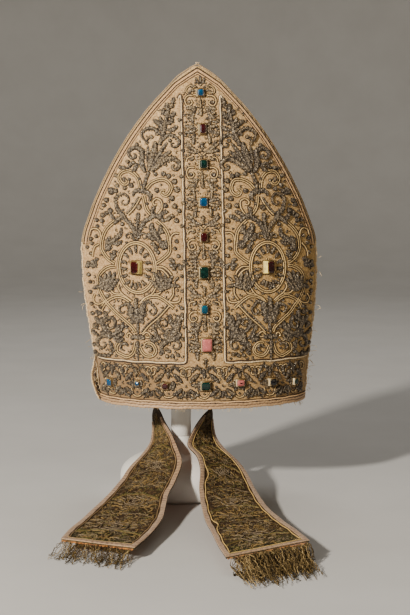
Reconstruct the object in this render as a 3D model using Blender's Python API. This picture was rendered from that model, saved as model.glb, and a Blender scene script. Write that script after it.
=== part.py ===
"""Bishop mitre with two lappets, set on a plain turned stand.

Metres, +Z up.  The origin is the centre of the stand's underside, and the
mitre faces -Y.  The mitre is worked out in its own frame (x across, h up from
the rim, y from the side-seam plane, front negative) and then set on the stand.
"""
import bpy
import bmesh
import math
import numpy as np
from mathutils import Vector

for old in list(bpy.data.objects):
    bpy.data.objects.remove(old, do_unlink=True)

# ---------------------------------------------------------------- dimensions
GAP = 0.0003                 # space kept between neighbouring pieces

MITRE_X = 0.0281             # the mitre sits off the stand's axis
MITRE_Y = -0.010
RIM_Z = 0.120                # rim above the floor
LEAN = -0.0245               # the horns lean to the left by this much per metre
HORN_H = 0.414               # rim to tip
CLEFT_H = 0.195              # the side seams end here
PANEL_T = 0.0026             # stiffened cloth panel
TIP_IN = 0.045               # the tips lean in from the front and back

# height above the rim, half width, depth of the arc, opening angle of the arc
SECTIONS = (
    # h      half_w   depth   angle
    (0.000, 0.1286, 0.0700, 78.0),
    (0.040, 0.1325, 0.0705, 75.0),
    (0.080, 0.1380, 0.0705, 72.0),
    (0.120, 0.1430, 0.0700, 69.0),
    (0.160, 0.1460, 0.0690, 66.0),
    (0.195, 0.1462, 0.0670, 64.0),
    (0.240, 0.1330, 0.0570, 61.0),
    (0.280, 0.1144, 0.0445, 58.0),
    (0.320, 0.0911, 0.0310, 55.0),
    (0.360, 0.0612, 0.0165, 52.0),
    (0.385, 0.0380, 0.0080, 50.0),
    (0.400, 0.0225, 0.0040, 50.0),
    (0.414, 0.0020, 0.0006, 50.0),
)

EDGE_CORD_R = 0.0013
PIPING_R = 0.0016
BRAID_IN, BRAID_W, BRAID_T = 0.0030, 0.0050, 0.0009
RIM_BAND_H, RIM_BAND_T = 0.0100, 0.0010
FIELD_CORD_R = 0.0012
BAND_HALF = 0.0236           # half width of the central upright band
BAND_SHIFT = (-0.0008, 0.0032)   # its middle line's place at the rim and tip
BAND_H = 0.0555              # top of the rim band
RING_R, RING_X, RING_H = 0.0011, 0.0795, 0.1706
RING_A, RING_B = 0.0215, 0.0297

POST_R = 0.0127
POST_TOP = 0.276
# radius, height of the turned foot, from the underside's rim to the post
FOOT_PROFILE = (
    (0.0750, 0.0000), (0.0780, 0.0030), (0.0780, 0.0200), (0.0765, 0.0280),
    (0.0710, 0.0360), (0.0620, 0.0425), (0.0520, 0.0465), (0.0400, 0.0490),
    (0.0270, 0.0520), (0.0185, 0.0590), (POST_R, 0.0720),
)
# radius, height of the support hidden inside the mitre
PAD_PROFILE = (
    (0.0500, POST_TOP + GAP), (0.0520, 0.2810), (0.0500, 0.2880),
    (0.0400, 0.2935), (0.0220, 0.2970),
)

# jewels of the front: place on the face, size of the setting, its height
# above the cloth, and how far its top is turned outward
JEWELS = (
    # name           x        h       wide    high    rise    turn  stone
    ("spine_1", 0.0028, 0.3807, 0.0086, 0.0086, 0.0034, 0.0, "blue"),
    ("spine_2", 0.0040, 0.3369, 0.0086, 0.0120, 0.0036, 0.0, "garnet"),
    ("spine_3", 0.0037, 0.2947, 0.0098, 0.0108, 0.0036, 0.0, "green"),
    ("spine_4", 0.0023, 0.2495, 0.0098, 0.0108, 0.0036, 0.0, "blue"),
    ("spine_5", 0.0017, 0.2077, 0.0086, 0.0112, 0.0036, 0.0, "red"),
    ("spine_6", 0.0008, 0.1651, 0.0114, 0.0146, 0.0042, 0.0, "green"),
    ("spine_7", 0.0000, 0.1210, 0.0086, 0.0110, 0.0036, 0.0, "turquoise"),
    ("spine_8", 0.0019, 0.0777, 0.0128, 0.0162, 0.0040, 0.0, "pink"),
    ("rim_1", -0.1158, 0.0264, 0.0092, 0.0092, 0.0034, 0.0, "blue"),
    ("rim_2", -0.0825, 0.0285, 0.0062, 0.0062, 0.0030, 0.0, "blue"),
    ("rim_3", -0.0492, 0.0268, 0.0080, 0.0078, 0.0034, 0.0, "garnet"),
    ("rim_4", -0.0007, 0.0276, 0.0118, 0.0108, 0.0038, 0.0, "green"),
    ("rim_5", 0.0413, 0.0304, 0.0104, 0.0084, 0.0036, 0.0, "pink"),
    ("rim_6", 0.0813, 0.0290, 0.0104, 0.0088, 0.0044, 0.0, "onyx"),
    ("rim_7", 0.1122, 0.0260, 0.0084, 0.0078, 0.0034, 0.0, "green"),
    ("disc_left", -0.0795, 0.1706, 0.0120, 0.0146, 0.0085, -18.0, "red"),
    ("disc_right", 0.0795, 0.1706, 0.0120, 0.0146, 0.0085, 18.0, "red"),
)
BEZEL_T = 0.0007             # wall of a setting
STONE_UP = 0.0008            # the stone's table stands above its setting

LAPPET_T = 0.0018
BORDER_W, BORDER_T = 0.0055, 0.0007
# The two edges of each lappet, from the back rim, through the half turn that
# brings the worked side up, over the foot and out on the floor.
LAPPET_LEFT = (
    # left edge x, y, z           right edge x, y, z
    (0.0020, 0.0535, 0.1230, -0.0460, 0.0385, 0.1230),
    (-0.0100, 0.0550, 0.1110, -0.0430, 0.0330, 0.1140),
    (-0.0320, 0.0540, 0.0980, -0.0300, 0.0180, 0.1040),
    (-0.0345, 0.0330, 0.0720, -0.0215, 0.0010, 0.0890),
    (-0.0385, 0.0080, 0.0590, -0.0130, -0.0240, 0.0785),
    (-0.0500, -0.0240, 0.0500, -0.0060, -0.0530, 0.0640),
    (-0.0660, -0.0540, 0.0410, -0.0025, -0.0770, 0.0515),
    (-0.0770, -0.0820, 0.0310, -0.0110, -0.1060, 0.0370),
    (-0.0895, -0.1132, 0.0235, -0.0208, -0.1338, 0.0270),
    (-0.1029, -0.1414, 0.0170, -0.0250, -0.1623, 0.0200),
    (-0.1174, -0.1831, 0.0135, -0.0302, -0.2004, 0.0150),
    (-0.1298, -0.2189, 0.0120, -0.0407, -0.2404, 0.0125),
    (-0.1399, -0.2676, 0.0125, -0.0617, -0.3052, 0.0125),
)
LAPPET_RIGHT = (
    # left edge x, y, z           right edge x, y, z
    (0.0780, 0.0480, 0.1230, 0.0300, 0.0545, 0.1230),
    (0.0620, 0.0350, 0.1130, 0.0350, 0.0560, 0.1110),
    (0.0400, 0.0260, 0.1010, 0.0430, 0.0570, 0.0930),
    (0.0270, 0.0110, 0.0920, 0.0430, 0.0430, 0.0790),
    (0.0145, -0.0150, 0.0790, 0.0450, 0.0200, 0.0630),
    (0.0068, -0.0330, 0.0655, 0.0540, -0.0060, 0.0535),
    (0.0170, -0.0620, 0.0560, 0.0690, -0.0330, 0.0430),
    (0.0195, -0.0860, 0.0460, 0.0785, -0.0620, 0.0330),
    (0.0165, -0.1180, 0.0320, 0.0840, -0.1010, 0.0240),
    (0.0163, -0.1538, 0.0225, 0.0877, -0.1386, 0.0205),
    (0.0180, -0.2071, 0.0160, 0.0939, -0.1804, 0.0180),
    (0.0222, -0.2535, 0.0140, 0.1022, -0.2220, 0.0175),
    (0.0261, -0.3090, 0.0145, 0.1121, -0.2703, 0.0185),
    (0.0305, -0.3548, 0.0155, 0.1205, -0.3139, 0.0195),
)
# length and thickness of the metal fringe on each lappet's end
FRINGE_LEFT = (0.042, 0.0040)
FRINGE_RIGHT = (0.060, 0.0100)


# ---------------------------------------------------------------- materials
def material(name, rgb, rough, metal=0.0):
    mat = bpy.data.materials.new(name)
    mat.use_nodes = True
    bsdf = mat.node_tree.nodes["Principled BSDF"]
    bsdf.inputs["Base Color"].default_value = (*rgb, 1.0)
    bsdf.inputs["Roughness"].default_value = rough
    bsdf.inputs["Metallic"].default_value = metal
    return mat


MATS = {
    "silk": material("silk", (0.52, 0.38, 0.24), 0.75),
    "lining": material("lining", (0.30, 0.11, 0.05), 0.7),
    "pale_cord": material("pale_cord", (0.75, 0.64, 0.50), 0.7),
    "gold_cord": material("gold_cord", (0.62, 0.46, 0.24), 0.45, 0.6),
    "galloon": material("galloon", (0.62, 0.49, 0.34), 0.6),
    "lappet_cloth": material("lappet_cloth", (0.26, 0.19, 0.10), 0.75),
    "lappet_galloon": material("lappet_galloon", (0.66, 0.52, 0.42), 0.65),
    "fringe": material("fringe", (0.42, 0.30, 0.13), 0.5, 0.4),
    "setting": material("setting", (0.55, 0.47, 0.33), 0.35, 0.9),
    "stand": material("stand", (0.82, 0.80, 0.75), 0.5),
    "blue": material("stone_blue", (0.05, 0.25, 0.45), 0.08),
    "garnet": material("stone_garnet", (0.20, 0.02, 0.02), 0.08),
    "green": material("stone_green", (0.02, 0.22, 0.14), 0.08),
    "red": material("stone_red", (0.32, 0.02, 0.03), 0.08),
    "turquoise": material("stone_turquoise", (0.08, 0.38, 0.42), 0.08),
    "pink": material("stone_pink", (0.70, 0.36, 0.34), 0.08),
    "onyx": material("stone_onyx", (0.02, 0.02, 0.02), 0.08),
}


def add(name, mesh, mat, smooth=True):
    obj = bpy.data.objects.new(name, mesh)
    bpy.context.scene.collection.objects.link(obj)
    mesh.materials.append(MATS[mat])
    if smooth:
        mesh.shade_smooth()
        mesh.set_sharp_from_angle(angle=math.radians(40))
    return obj


def outward(mesh):
    bm = bmesh.new()
    bm.from_mesh(mesh)
    bmesh.ops.recalc_face_normals(bm, faces=bm.faces)
    if bm.calc_volume(signed=True) < 0:
        bmesh.ops.reverse_faces(bm, faces=bm.faces)
    bm.to_mesh(mesh)
    bm.free()


# ------------------------------------------------------- the face of a horn
TABLE = np.array(SECTIONS)


def smooth_at(xs, ys, x):
    """Monotone cubic through a short table."""
    d = np.diff(ys) / np.diff(xs)
    m = np.zeros(len(xs))
    m[0], m[-1] = d[0], d[-1]
    for i in range(1, len(xs) - 1):
        if d[i - 1] * d[i] > 0:
            m[i] = 2 * d[i - 1] * d[i] / (d[i - 1] + d[i])
    i = int(np.clip(np.searchsorted(xs, x) - 1, 0, len(xs) - 2))
    w = xs[i + 1] - xs[i]
    t = (x - xs[i]) / w
    return ((2 * t ** 3 - 3 * t ** 2 + 1) * ys[i] + (t ** 3 - 2 * t ** 2 + t) * w * m[i]
            + (3 * t ** 2 - 2 * t ** 3) * ys[i + 1] + (t ** 3 - t ** 2) * w * m[i + 1])


def half_width(h):
    return smooth_at(TABLE[:, 0], TABLE[:, 1], h)


def face(x, h, side=-1):
    """Point of the outer cloth at x across and h above the rim, side -1 in
    front and +1 behind, in the stand's frame."""
    w = half_width(h)
    depth = smooth_at(TABLE[:, 0], TABLE[:, 2], h)
    big = math.radians(smooth_at(TABLE[:, 0], TABLE[:, 3], h))
    lean = max(0.0, (h - CLEFT_H) / (HORN_H - CLEFT_H)) ** 1.1
    edge = 0.0006 + TIP_IN * lean
    t = math.asin(max(-1.0, min(1.0, x / w)) * math.sin(big))
    y = edge + depth * (math.cos(t) - math.cos(big)) / (1 - math.cos(big))
    return Vector((MITRE_X + x + LEAN * h, MITRE_Y + side * y, RIM_Z + h))


def face_frame(x, h, side=-1):
    """Point, across, up and outward directions at a place on the cloth."""
    e = 0.0008
    w = half_width(h)
    x0, x1 = max(-w, x - e), min(w, x + e)
    h0, h1 = max(0.0, h - e), min(HORN_H, h + e)
    xm = max(-half_width(h1), min(half_width(h1), x))
    across = (face(x1, h, side) - face(x0, h, side)).normalized()
    up = face(xm, h1, side) - face(max(-half_width(h0), min(half_width(h0), xm)), h0, side)
    n = across.cross(up).normalized()
    if n.y * side < 0:
        n = -n
    up = n.cross(across).normalized()
    if up.z < 0:
        up = -up
    return face(x, h, side), across, up, n


def grid_mesh(name, points):
    rows, cols = len(points), len(points[0])
    verts = [tuple(p) for row in points for p in row]
    faces = [(r * cols + c, r * cols + c + 1, (r + 1) * cols + c + 1, (r + 1) * cols + c)
             for r in range(rows - 1) for c in range(cols - 1)]
    mesh = bpy.data.meshes.new(name)
    mesh.from_pydata(verts, [], faces)
    return mesh


def thick_grid(name, outer, inner, mat):
    """A closed sheet between an outer and an inner grid of points."""
    rows, cols = len(outer), len(outer[0])
    verts = [tuple(p) for row in outer for p in row] + [tuple(p) for row in inner for p in row]
    n = rows * cols
    faces = []
    for r in range(rows - 1):
        for c in range(cols - 1):
            a, b = r * cols + c, r * cols + c + 1
            d, e = (r + 1) * cols + c, (r + 1) * cols + c + 1
            faces.append((a, b, e, d))
            faces.append((n + a, n + d, n + e, n + b))
    ring = ([c for c in range(cols)] + [r * cols + cols - 1 for r in range(1, rows)]
            + [(rows - 1) * cols + c for c in range(cols - 2, -1, -1)]
            + [r * cols for r in range(rows - 2, 0, -1)])
    for i, a in enumerate(ring):
        b = ring[(i + 1) % len(ring)]
        faces.append((a, n + a, n + b, b))
    mesh = bpy.data.meshes.new(name)
    mesh.from_pydata(verts, [], faces)
    outward(mesh)
    return add(name, mesh, mat)


def tube(name, points, radius, mat, cyclic=False, sides=2):
    """A cord: a curve with a round bevel and filled ends."""
    curve = bpy.data.curves.new(name, "CURVE")
    curve.dimensions = "3D"
    curve.bevel_depth = radius
    curve.bevel_resolution = sides
    curve.use_fill_caps = not cyclic
    spline = curve.splines.new("POLY")
    spline.points.add(len(points) - 1)
    for p, q in zip(spline.points, points):
        p.co = (*q, 1.0)
    spline.use_cyclic_u = cyclic
    obj = bpy.data.objects.new(name, curve)
    bpy.context.scene.collection.objects.link(obj)
    curve.materials.append(MATS[mat])
    return obj


def horn(name, side):
    heights = (0.0, 0.025, 0.05, 0.08, 0.11, 0.14, 0.17, 0.195, 0.22, 0.245, 0.27,
               0.295, 0.32, 0.343, 0.364, 0.383, 0.399, 0.410)
    cols = 17
    outer, inner = [], []
    for h in heights:
        w = half_width(h)
        row_o, row_i = [], []
        for c in range(cols):
            s = -1 + 2 * c / (cols - 1)
            s = math.sin(s * math.pi / 2) * 0.35 + s * 0.65
            p, _, _, n = face_frame(s * w, h, side)
            row_o.append(p)
            flat = Vector((n.x, n.y, 0.0)).normalized()
            row_i.append(p - flat * PANEL_T)
        outer.append(row_o)
        inner.append(row_i)
    # the inner face closes onto the seam plane instead of crossing it
    for row_o, row_i in zip(outer, inner):
        for c in (0, cols - 1):
            s = 1 if c else -1
            row_i[c] = Vector((row_o[c].x - s * PANEL_T, row_o[c].y, row_o[c].z))
            if side * (row_i[c].y - MITRE_Y) < 0.0006:
                row_i[c].y = MITRE_Y + side * 0.0006
    return thick_grid(name, outer, inner, "silk")


horn("front_horn", -1)
horn("back_horn", 1)


# ------------------------------------------------- gusset between the horns
def height_at_width(x):
    lo, hi = CLEFT_H, HORN_H
    for _ in range(40):
        mid = (lo + hi) / 2
        if half_width(mid) > abs(x):
            lo = mid
        else:
            hi = mid
    return lo


def gusset():
    wide = half_width(CLEFT_H)
    cols, drop = 15, 5
    top, low = [], []
    for c in range(cols):
        s = (-1 + 2 * c / (cols - 1)) * 0.965
        x = s * wide
        h = height_at_width(x) - 0.004
        fold = CLEFT_H - 0.013 * (1 - s * s) + 0.004
        line = []
        for side in (-1, 1):
            lean = max(0.0, (h - CLEFT_H) / (HORN_H - CLEFT_H)) ** 1.1
            y_edge = side * (0.0006 + TIP_IN * lean - PANEL_T - 0.0012)
            if side * y_edge < 0.0002:
                y_edge = side * 0.0002
            part = []
            for k in range(drop):
                v = 1 - k / (drop - 1)
                vv = v ** 1.25
                part.append(Vector((MITRE_X + x * 0.980 + LEAN * h,
                                    MITRE_Y + y_edge * vv + side * 0.0006,
                                    RIM_Z + fold + (h - fold) * v)))
            line += part if side < 0 else part[::-1][1:]
        mid = len(line) // 2
        line[mid].y = MITRE_Y
        top.append(line)
    for line in top:
        under = []
        for k, p in enumerate(line):
            a, b = line[max(0, k - 1)], line[min(len(line) - 1, k + 1)]
            d = (b - a).normalized()
            under.append(p + Vector((0, d.z, -d.y)) * 0.0011)
        low.append(under)
    return thick_grid("gusset", top, low, "lining")


# --------------------------------------- cords and braids round the edges
def edge_dir(h, s, side):
    """Outward direction in the cloth at the horn's edge."""
    e = 0.001
    h0, h1 = max(0, h - e), min(HORN_H, h + e)
    along = (face(s * half_width(h1), h1, side) - face(s * half_width(h0), h0, side)).normalized()
    w = half_width(h)
    across = (face(s * w, h, side) - face(s * w * 0.97, h, side)).normalized()
    return (across - along * across.dot(along)).normalized(), along


def free_edge_cord(name, side):
    pts = []
    hs = [CLEFT_H + 0.004 + (0.404 - CLEFT_H - 0.004) * k / 13 for k in range(14)]
    for s in (-1, 1):
        half = []
        for h in hs:
            out, _ = edge_dir(h, s, side)
            p = (face(s * half_width(h), h, side) + out * (EDGE_CORD_R + 0.0006)
                 + Vector((0, -side * 0.0008, 0)))
            p.y = MITRE_Y + side * max(side * (p.y - MITRE_Y), EDGE_CORD_R + GAP)
            half.append(p)
        crown = face(s * half_width(0.410) * 0.9, 0.410, side)
        half.append(crown + Vector((s * 0.0004, -side * 0.0010, EDGE_CORD_R + 0.0009)))
        pts += half if s < 0 else [None] + half[::-1]
    tip = face(0, 0.410, side) + Vector((0, -side * 0.0010, EDGE_CORD_R + 0.0034))
    pts = [tip if p is None else p for p in pts]
    return tube(name, pts, EDGE_CORD_R, "pale_cord", sides=1)


def edge_braid(name, side):
    """Flat braid on the cloth, a little inside the free edge."""
    def run(d):
        pts = []
        hs = [CLEFT_H + 0.002 + (0.392 - CLEFT_H) * k / 12 for k in range(13)]
        for h in hs:
            e = 0.001
            w0, w1 = half_width(h - e), half_width(h + e)
            t = Vector((w1 - w0, 2 * e)).normalized()
            pts.append((half_width(h) - t.y * d, h + t.x * d))
        pts.append((0.0, HORN_H - 1.25 * d - 0.002))
        return [(-x, h) for x, h in pts] + [(x, h) for x, h in pts[-2::-1]]
    top, low = [], []
    for d in (BRAID_IN, BRAID_IN + BRAID_W):
        row_t, row_l = [], []
        for x, h in run(d):
            p, _, _, n = face_frame(x, h, side)
            lift = GAP + 0.0011
            row_t.append(p + n * (lift + BRAID_T))
            row_l.append(p + n * lift)
        top.append(row_t)
        low.append(row_l)
    return thick_grid(name, top, low, "gold_cord")


def seam_piping(name, s):
    pts = []
    for k in range(11):
        h = 0.0125 + (CLEFT_H - 0.0125) * k / 10
        w = half_width(h)
        pts.append(Vector((MITRE_X + s * (w + PIPING_R + 0.0003) + LEAN * h, MITRE_Y, RIM_Z + h)))
    return tube(name, pts, PIPING_R, "pale_cord", sides=1)


def rim_galloon():
    around = []
    steps = 20
    for side in (-1, 1):
        for k in range(steps + 1):
            s = -1 + 2 * k / steps
            s = math.sin(s * math.pi / 2) * 0.6 + s * 0.4
            if side > 0:
                s = -s
            if side > 0 and k in (0, steps):
                continue
            around.append((s, side))
    rows = []
    lift = GAP + 0.0003
    for dz, off in ((-0.0012, lift), (-0.0012, lift + RIM_BAND_T), (RIM_BAND_H, lift + RIM_BAND_T),
                    (RIM_BAND_H, lift)):
        row = []
        for s, side in around:
            h = max(0.0, dz)
            w = half_width(h)
            p, _, _, n = face_frame(s * w, h, side)
            n = Vector((n.x, n.y, 0)).normalized()
            if abs(s) > 0.999:
                n = Vector((1 if s > 0 else -1, 0, 0))
                p.y = MITRE_Y
            q = p + n * off
            q.z = RIM_Z + dz
            row.append(q)
        rows.append(row)
    n = len(around)
    verts = [tuple(p) for row in rows for p in row]
    faces = [(r * n + c, r * n + (c + 1) % n, ((r + 1) % 4) * n + (c + 1) % n, ((r + 1) % 4) * n + c)
             for r in range(4) for c in range(n)]
    mesh = bpy.data.meshes.new("rim_galloon")
    mesh.from_pydata(verts, [], faces)
    outward(mesh)
    return add("rim_galloon", mesh, "galloon")


def field_cord(name, s, side):
    """The couched cord that bounds one field: down beside the upright band,
    then out along the top of the rim band."""
    def middle(h):
        return BAND_SHIFT[0] + (BAND_SHIFT[1] - BAND_SHIFT[0]) * h / HORN_H

    place = [(middle(h) + s * BAND_HALF, h) for h in np.linspace(0.376, BAND_H + 0.004, 13)]
    place.append((middle(BAND_H) + s * (BAND_HALF + 0.0015), BAND_H + 0.0008))
    far = half_width(BAND_H) - 0.004
    place += [(s * x, BAND_H) for x in np.linspace(BAND_HALF + 0.005, far, 10)]
    pts = []
    for x, h in place:
        p, _, _, n = face_frame(x, h, side)
        pts.append(p + n * (FIELD_CORD_R + 0.0008))
    return tube(name, pts, FIELD_CORD_R, "gold_cord", sides=1)


def medallion_ring(name, s):
    pts = []
    for k in range(26):
        a = 2 * math.pi * k / 26
        p, _, _, n = face_frame(s * RING_X + RING_A * math.cos(a), RING_H + RING_B * math.sin(a), -1)
        pts.append(p + n * (RING_R + 0.0007))
    return tube(name, pts, RING_R, "gold_cord", cyclic=True, sides=1)


gusset()
free_edge_cord("edge_cord_front", -1)
free_edge_cord("edge_cord_back", 1)
edge_braid("braid_front", -1)
edge_braid("braid_back", 1)
seam_piping("piping_left", -1)
seam_piping("piping_right", 1)
rim_galloon()
for side, where in ((-1, "front"), (1, "back")):
    field_cord("field_cord_%s_left" % where, -1, side)
    field_cord("field_cord_%s_right" % where, 1, side)
medallion_ring("ring_left", -1)
medallion_ring("ring_right", 1)


# ------------------------------------------------------------------ jewels
def jewel(name, x, h, wide, high, rise, turn, colour):
    p, across, up, n = face_frame(x, h, -1)
    lift = 0.0009
    foot = p + n * lift
    t = math.radians(turn)
    top_n = (n * math.cos(t) + across * math.sin(t)).normalized()
    top_a = (across * math.cos(t) - n * math.sin(t)).normalized()
    top = foot + (n + top_n).normalized() * rise

    def ring(c, a, u, w, v, bevel=0.0):
        pts = []
        for i, j in ((-1, -1), (1, -1), (1, 1), (-1, 1)):
            if bevel:
                if i * j > 0:
                    pts += [c + a * (i * w / 2) + u * (j * (v / 2 - bevel)),
                            c + a * (i * (w / 2 - bevel)) + u * (j * v / 2)]
                else:
                    pts += [c + a * (i * (w / 2 - bevel)) + u * (j * v / 2),
                            c + a * (i * w / 2) + u * (j * (v / 2 - bevel))]
            else:
                pts.append(c + a * (i * w / 2) + u * (j * v / 2))
        return pts

    def loft(node, rings, mat):
        bm = bmesh.new()
        loops = [[bm.verts.new(q) for q in r] for r in rings]
        n_side = len(loops[0])
        for a, b in zip(loops, loops[1:]):
            for k in range(n_side):
                bm.faces.new((a[k], a[(k + 1) % n_side], b[(k + 1) % n_side], b[k]))
        bm.faces.new(loops[0][::-1])
        bm.faces.new(loops[-1])
        bmesh.ops.recalc_face_normals(bm, faces=bm.faces)
        mesh = bpy.data.meshes.new(node)
        bm.to_mesh(mesh)
        bm.free()
        add(node, mesh, mat, smooth=False)

    b = 0.0006
    inner_w, inner_h = wide - 2 * BEZEL_T, high - 2 * BEZEL_T
    sink = min(0.0018, rise * 0.5)
    loft("setting_" + name, [
        ring(foot, across, up, wide + 0.0012, high + 0.0012),
        ring(foot + (n + top_n).normalized() * 0.0008, across, up, wide, high),
        ring(top, top_a, up, wide, high),
        ring(top, top_a, up, inner_w, inner_h),
        ring(top - top_n * sink, top_a, up, inner_w, inner_h),
    ], "setting")
    cut = 0.0013 if colour != "onyx" else 0.0005
    gw, gh = inner_w - 2 * GAP, inner_h - 2 * GAP
    loft("stone_" + name, [
        ring(top - top_n * (sink - GAP), top_a, up, gw, gh, b),
        ring(top - top_n * 0.0001, top_a, up, gw, gh, b),
        ring(top + top_n * STONE_UP, top_a, up, gw - 2 * cut, gh - 2 * cut, b * 0.7),
    ], colour)


for row in JEWELS:
    jewel(*row)


# ----------------------------------------------------------------- lappets
def spline_rows(table, count):
    """Catmull-Rom through the rows, evenly spaced along the middle line."""
    P = np.array(table, float)
    mid = (P[:, :3] + P[:, 3:]) / 2
    s = np.r_[0, np.cumsum(np.linalg.norm(np.diff(mid, axis=0), axis=1))]
    out = []
    for q in np.linspace(0, s[-1], count):
        i = int(np.clip(np.searchsorted(s, q) - 1, 0, len(s) - 2))
        t = (q - s[i]) / (s[i + 1] - s[i])
        p0 = P[max(0, i - 1)]
        p1, p2 = P[i], P[i + 1]
        p3 = P[min(len(P) - 1, i + 2)]
        m1 = (p2 - p0) / (s[i + 1] - s[max(0, i - 1)]) * (s[i + 1] - s[i])
        m2 = (p3 - p1) / (s[min(len(P) - 1, i + 2)] - s[i]) * (s[i + 1] - s[i])
        out.append((2 * t ** 3 - 3 * t ** 2 + 1) * p1 + (t ** 3 - 2 * t ** 2 + t) * m1
                   + (3 * t ** 2 - 2 * t ** 3) * p2 + (t ** 3 - t ** 2) * m2)
    return np.array(out)


def strip_frame(rows, i, v):
    """Point and worked-side normal at row i and v (0 left, 1 right)."""
    r = rows[i]
    p = r[:3] * (1 - v) + r[3:] * v
    a, b = rows[max(0, i - 1)], rows[min(len(rows) - 1, i + 1)]
    along = (b[:3] * (1 - v) + b[3:] * v) - (a[:3] * (1 - v) + a[3:] * v)
    wide = r[3:] - r[:3]
    n = np.cross(along, wide)
    return Vector(p), Vector(n / np.linalg.norm(n)), Vector(wide / np.linalg.norm(wide))


def lappet(name, table, fringe):
    rows = spline_rows(table, 27)
    cols = 5
    top, low = [], []
    for i in range(len(rows)):
        row_t, row_l = [], []
        for c in range(cols):
            p, n, _ = strip_frame(rows, i, c / (cols - 1))
            row_t.append(p + n * LAPPET_T / 2)
            row_l.append(p - n * LAPPET_T / 2)
        top.append(row_t)
        low.append(row_l)
    thick_grid("lappet_" + name, top, low, "lappet_cloth")

    # pale galloon down one side, across the end and up the other side
    last = len(rows) - 1
    keep = range(3, last)
    lane = []
    for i in keep:
        wide = np.linalg.norm(rows[i][3:] - rows[i][:3])
        lane.append(((i, 0.01), (i, BORDER_W / wide)))
    wide = np.linalg.norm(rows[last][3:] - rows[last][:3])
    lane.append(((last - 0.04, 0.01), (last - 0.62, BORDER_W / wide)))
    lane.append(((last - 0.04, 0.50), (last - 0.62, 0.50)))
    lane.append(((last - 0.04, 0.99), (last - 0.62, 1 - BORDER_W / wide)))
    for i in reversed(keep):
        wide = np.linalg.norm(rows[i][3:] - rows[i][:3])
        lane.append(((i, 0.99), (i, 1 - BORDER_W / wide)))

    def on(i, v, off):
        a = int(math.floor(i))
        f = i - a
        b = min(last, a + 1)
        pa, na, _ = strip_frame(rows, a, v)
        pb, nb, _ = strip_frame(rows, b, v)
        n = (na * (1 - f) + nb * f).normalized()
        return pa * (1 - f) + pb * f + n * off

    base = LAPPET_T / 2 + GAP + 0.0005
    top = [[on(i, v, base + BORDER_T) for i, v in (a[k] for a in lane)] for k in (0, 1)]
    low = [[on(i, v, base) for i, v in (a[k] for a in lane)] for k in (0, 1)]
    thick_grid("lappet_border_" + name, top, low, "lappet_galloon")

    # outer form of the fringe: down from the end, then on along the floor
    length, thick = fringe
    _, n, wide_dir = strip_frame(rows, last, 0.5)
    along = Vector(rows[last][:3] + rows[last][3:] - rows[last - 1][:3] - rows[last - 1][3:])
    along.z = 0
    along.normalize()
    top, low = [], []
    for k in range(7):
        f = k / 6
        drop = min(1.0, f * 2.4)
        row_t, row_l = [], []
        for c in range(9):
            v = c / 8
            p = Vector(rows[last][:3] * (1 - v) + rows[last][3:] * v)
            wave = 0.12 * math.sin(9.0 * v + 1.3) + 0.06 * math.sin(23.0 * v)
            reach = length * f * (1 + wave * f)
            spread = wide_dir * ((v - 0.5) * 0.006 * f)
            q = p + along * (0.0012 + reach) + spread
            t = thick * (1 - 0.35 * f) / 2
            z = max(t + 0.0006, p.z * (1 - drop) + (t + 0.0006) * drop)
            row_t.append(Vector((q.x, q.y, z + t)))
            row_l.append(Vector((q.x, q.y, z - t)))
        top.append(row_t)
        low.append(row_l)
    thick_grid("fringe_" + name, top, low, "fringe")


lappet("left", LAPPET_LEFT, FRINGE_LEFT)
lappet("right", LAPPET_RIGHT, FRINGE_RIGHT)


# ------------------------------------------------------------------- stand
def turned(name, profile, segments=28):
    bm = bmesh.new()
    rings = []
    for r, z in profile:
        rings.append([bm.verts.new((r * math.cos(2 * math.pi * k / segments),
                                    r * math.sin(2 * math.pi * k / segments), z))
                      for k in range(segments)])
    for a, b in zip(rings, rings[1:]):
        for k in range(segments):
            bm.faces.new((a[k], a[(k + 1) % segments], b[(k + 1) % segments], b[k]))
    bm.faces.new(rings[0][::-1])
    bm.faces.new(rings[-1])
    bmesh.ops.recalc_face_normals(bm, faces=bm.faces)
    mesh = bpy.data.meshes.new(name)
    bm.to_mesh(mesh)
    bm.free()
    return add(name, mesh, "stand")


turned("stand_base", FOOT_PROFILE)
turned("stand_post", ((POST_R, FOOT_PROFILE[-1][1] + GAP), (POST_R, POST_TOP)), 24)
turned("stand_pad", PAD_PROFILE, 24)
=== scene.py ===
"""Looks of the bishop mitre: embroidered cloth, cords, stones, lappets, fringe.

Metres, +Z up, the mitre faces -Y.  Everything on a horn is placed by x (across
from its middle) and h (above the rim) on the same curved face as the panels.
The embroidery is charted in millimetres on that face, as the viewer sees the
left field; the right one is its mirror image.
"""
import math
import bpy
import numpy as np
from mathutils import Matrix, Vector


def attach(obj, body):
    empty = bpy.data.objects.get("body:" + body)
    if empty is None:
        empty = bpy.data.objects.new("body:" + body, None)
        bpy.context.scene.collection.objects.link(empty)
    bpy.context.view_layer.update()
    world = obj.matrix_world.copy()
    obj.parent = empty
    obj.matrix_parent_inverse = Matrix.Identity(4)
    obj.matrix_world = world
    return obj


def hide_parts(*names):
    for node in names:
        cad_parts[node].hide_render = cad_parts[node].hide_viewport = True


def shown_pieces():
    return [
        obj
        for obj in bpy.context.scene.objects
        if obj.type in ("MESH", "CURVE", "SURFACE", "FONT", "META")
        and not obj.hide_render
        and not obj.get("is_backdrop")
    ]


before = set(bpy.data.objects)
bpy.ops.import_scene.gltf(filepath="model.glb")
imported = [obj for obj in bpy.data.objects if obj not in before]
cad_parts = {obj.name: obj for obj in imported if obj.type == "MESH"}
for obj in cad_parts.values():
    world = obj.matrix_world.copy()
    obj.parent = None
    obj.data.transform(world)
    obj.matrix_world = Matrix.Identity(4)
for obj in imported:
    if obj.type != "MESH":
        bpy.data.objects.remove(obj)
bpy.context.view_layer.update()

rng = np.random.default_rng(7)

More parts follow.
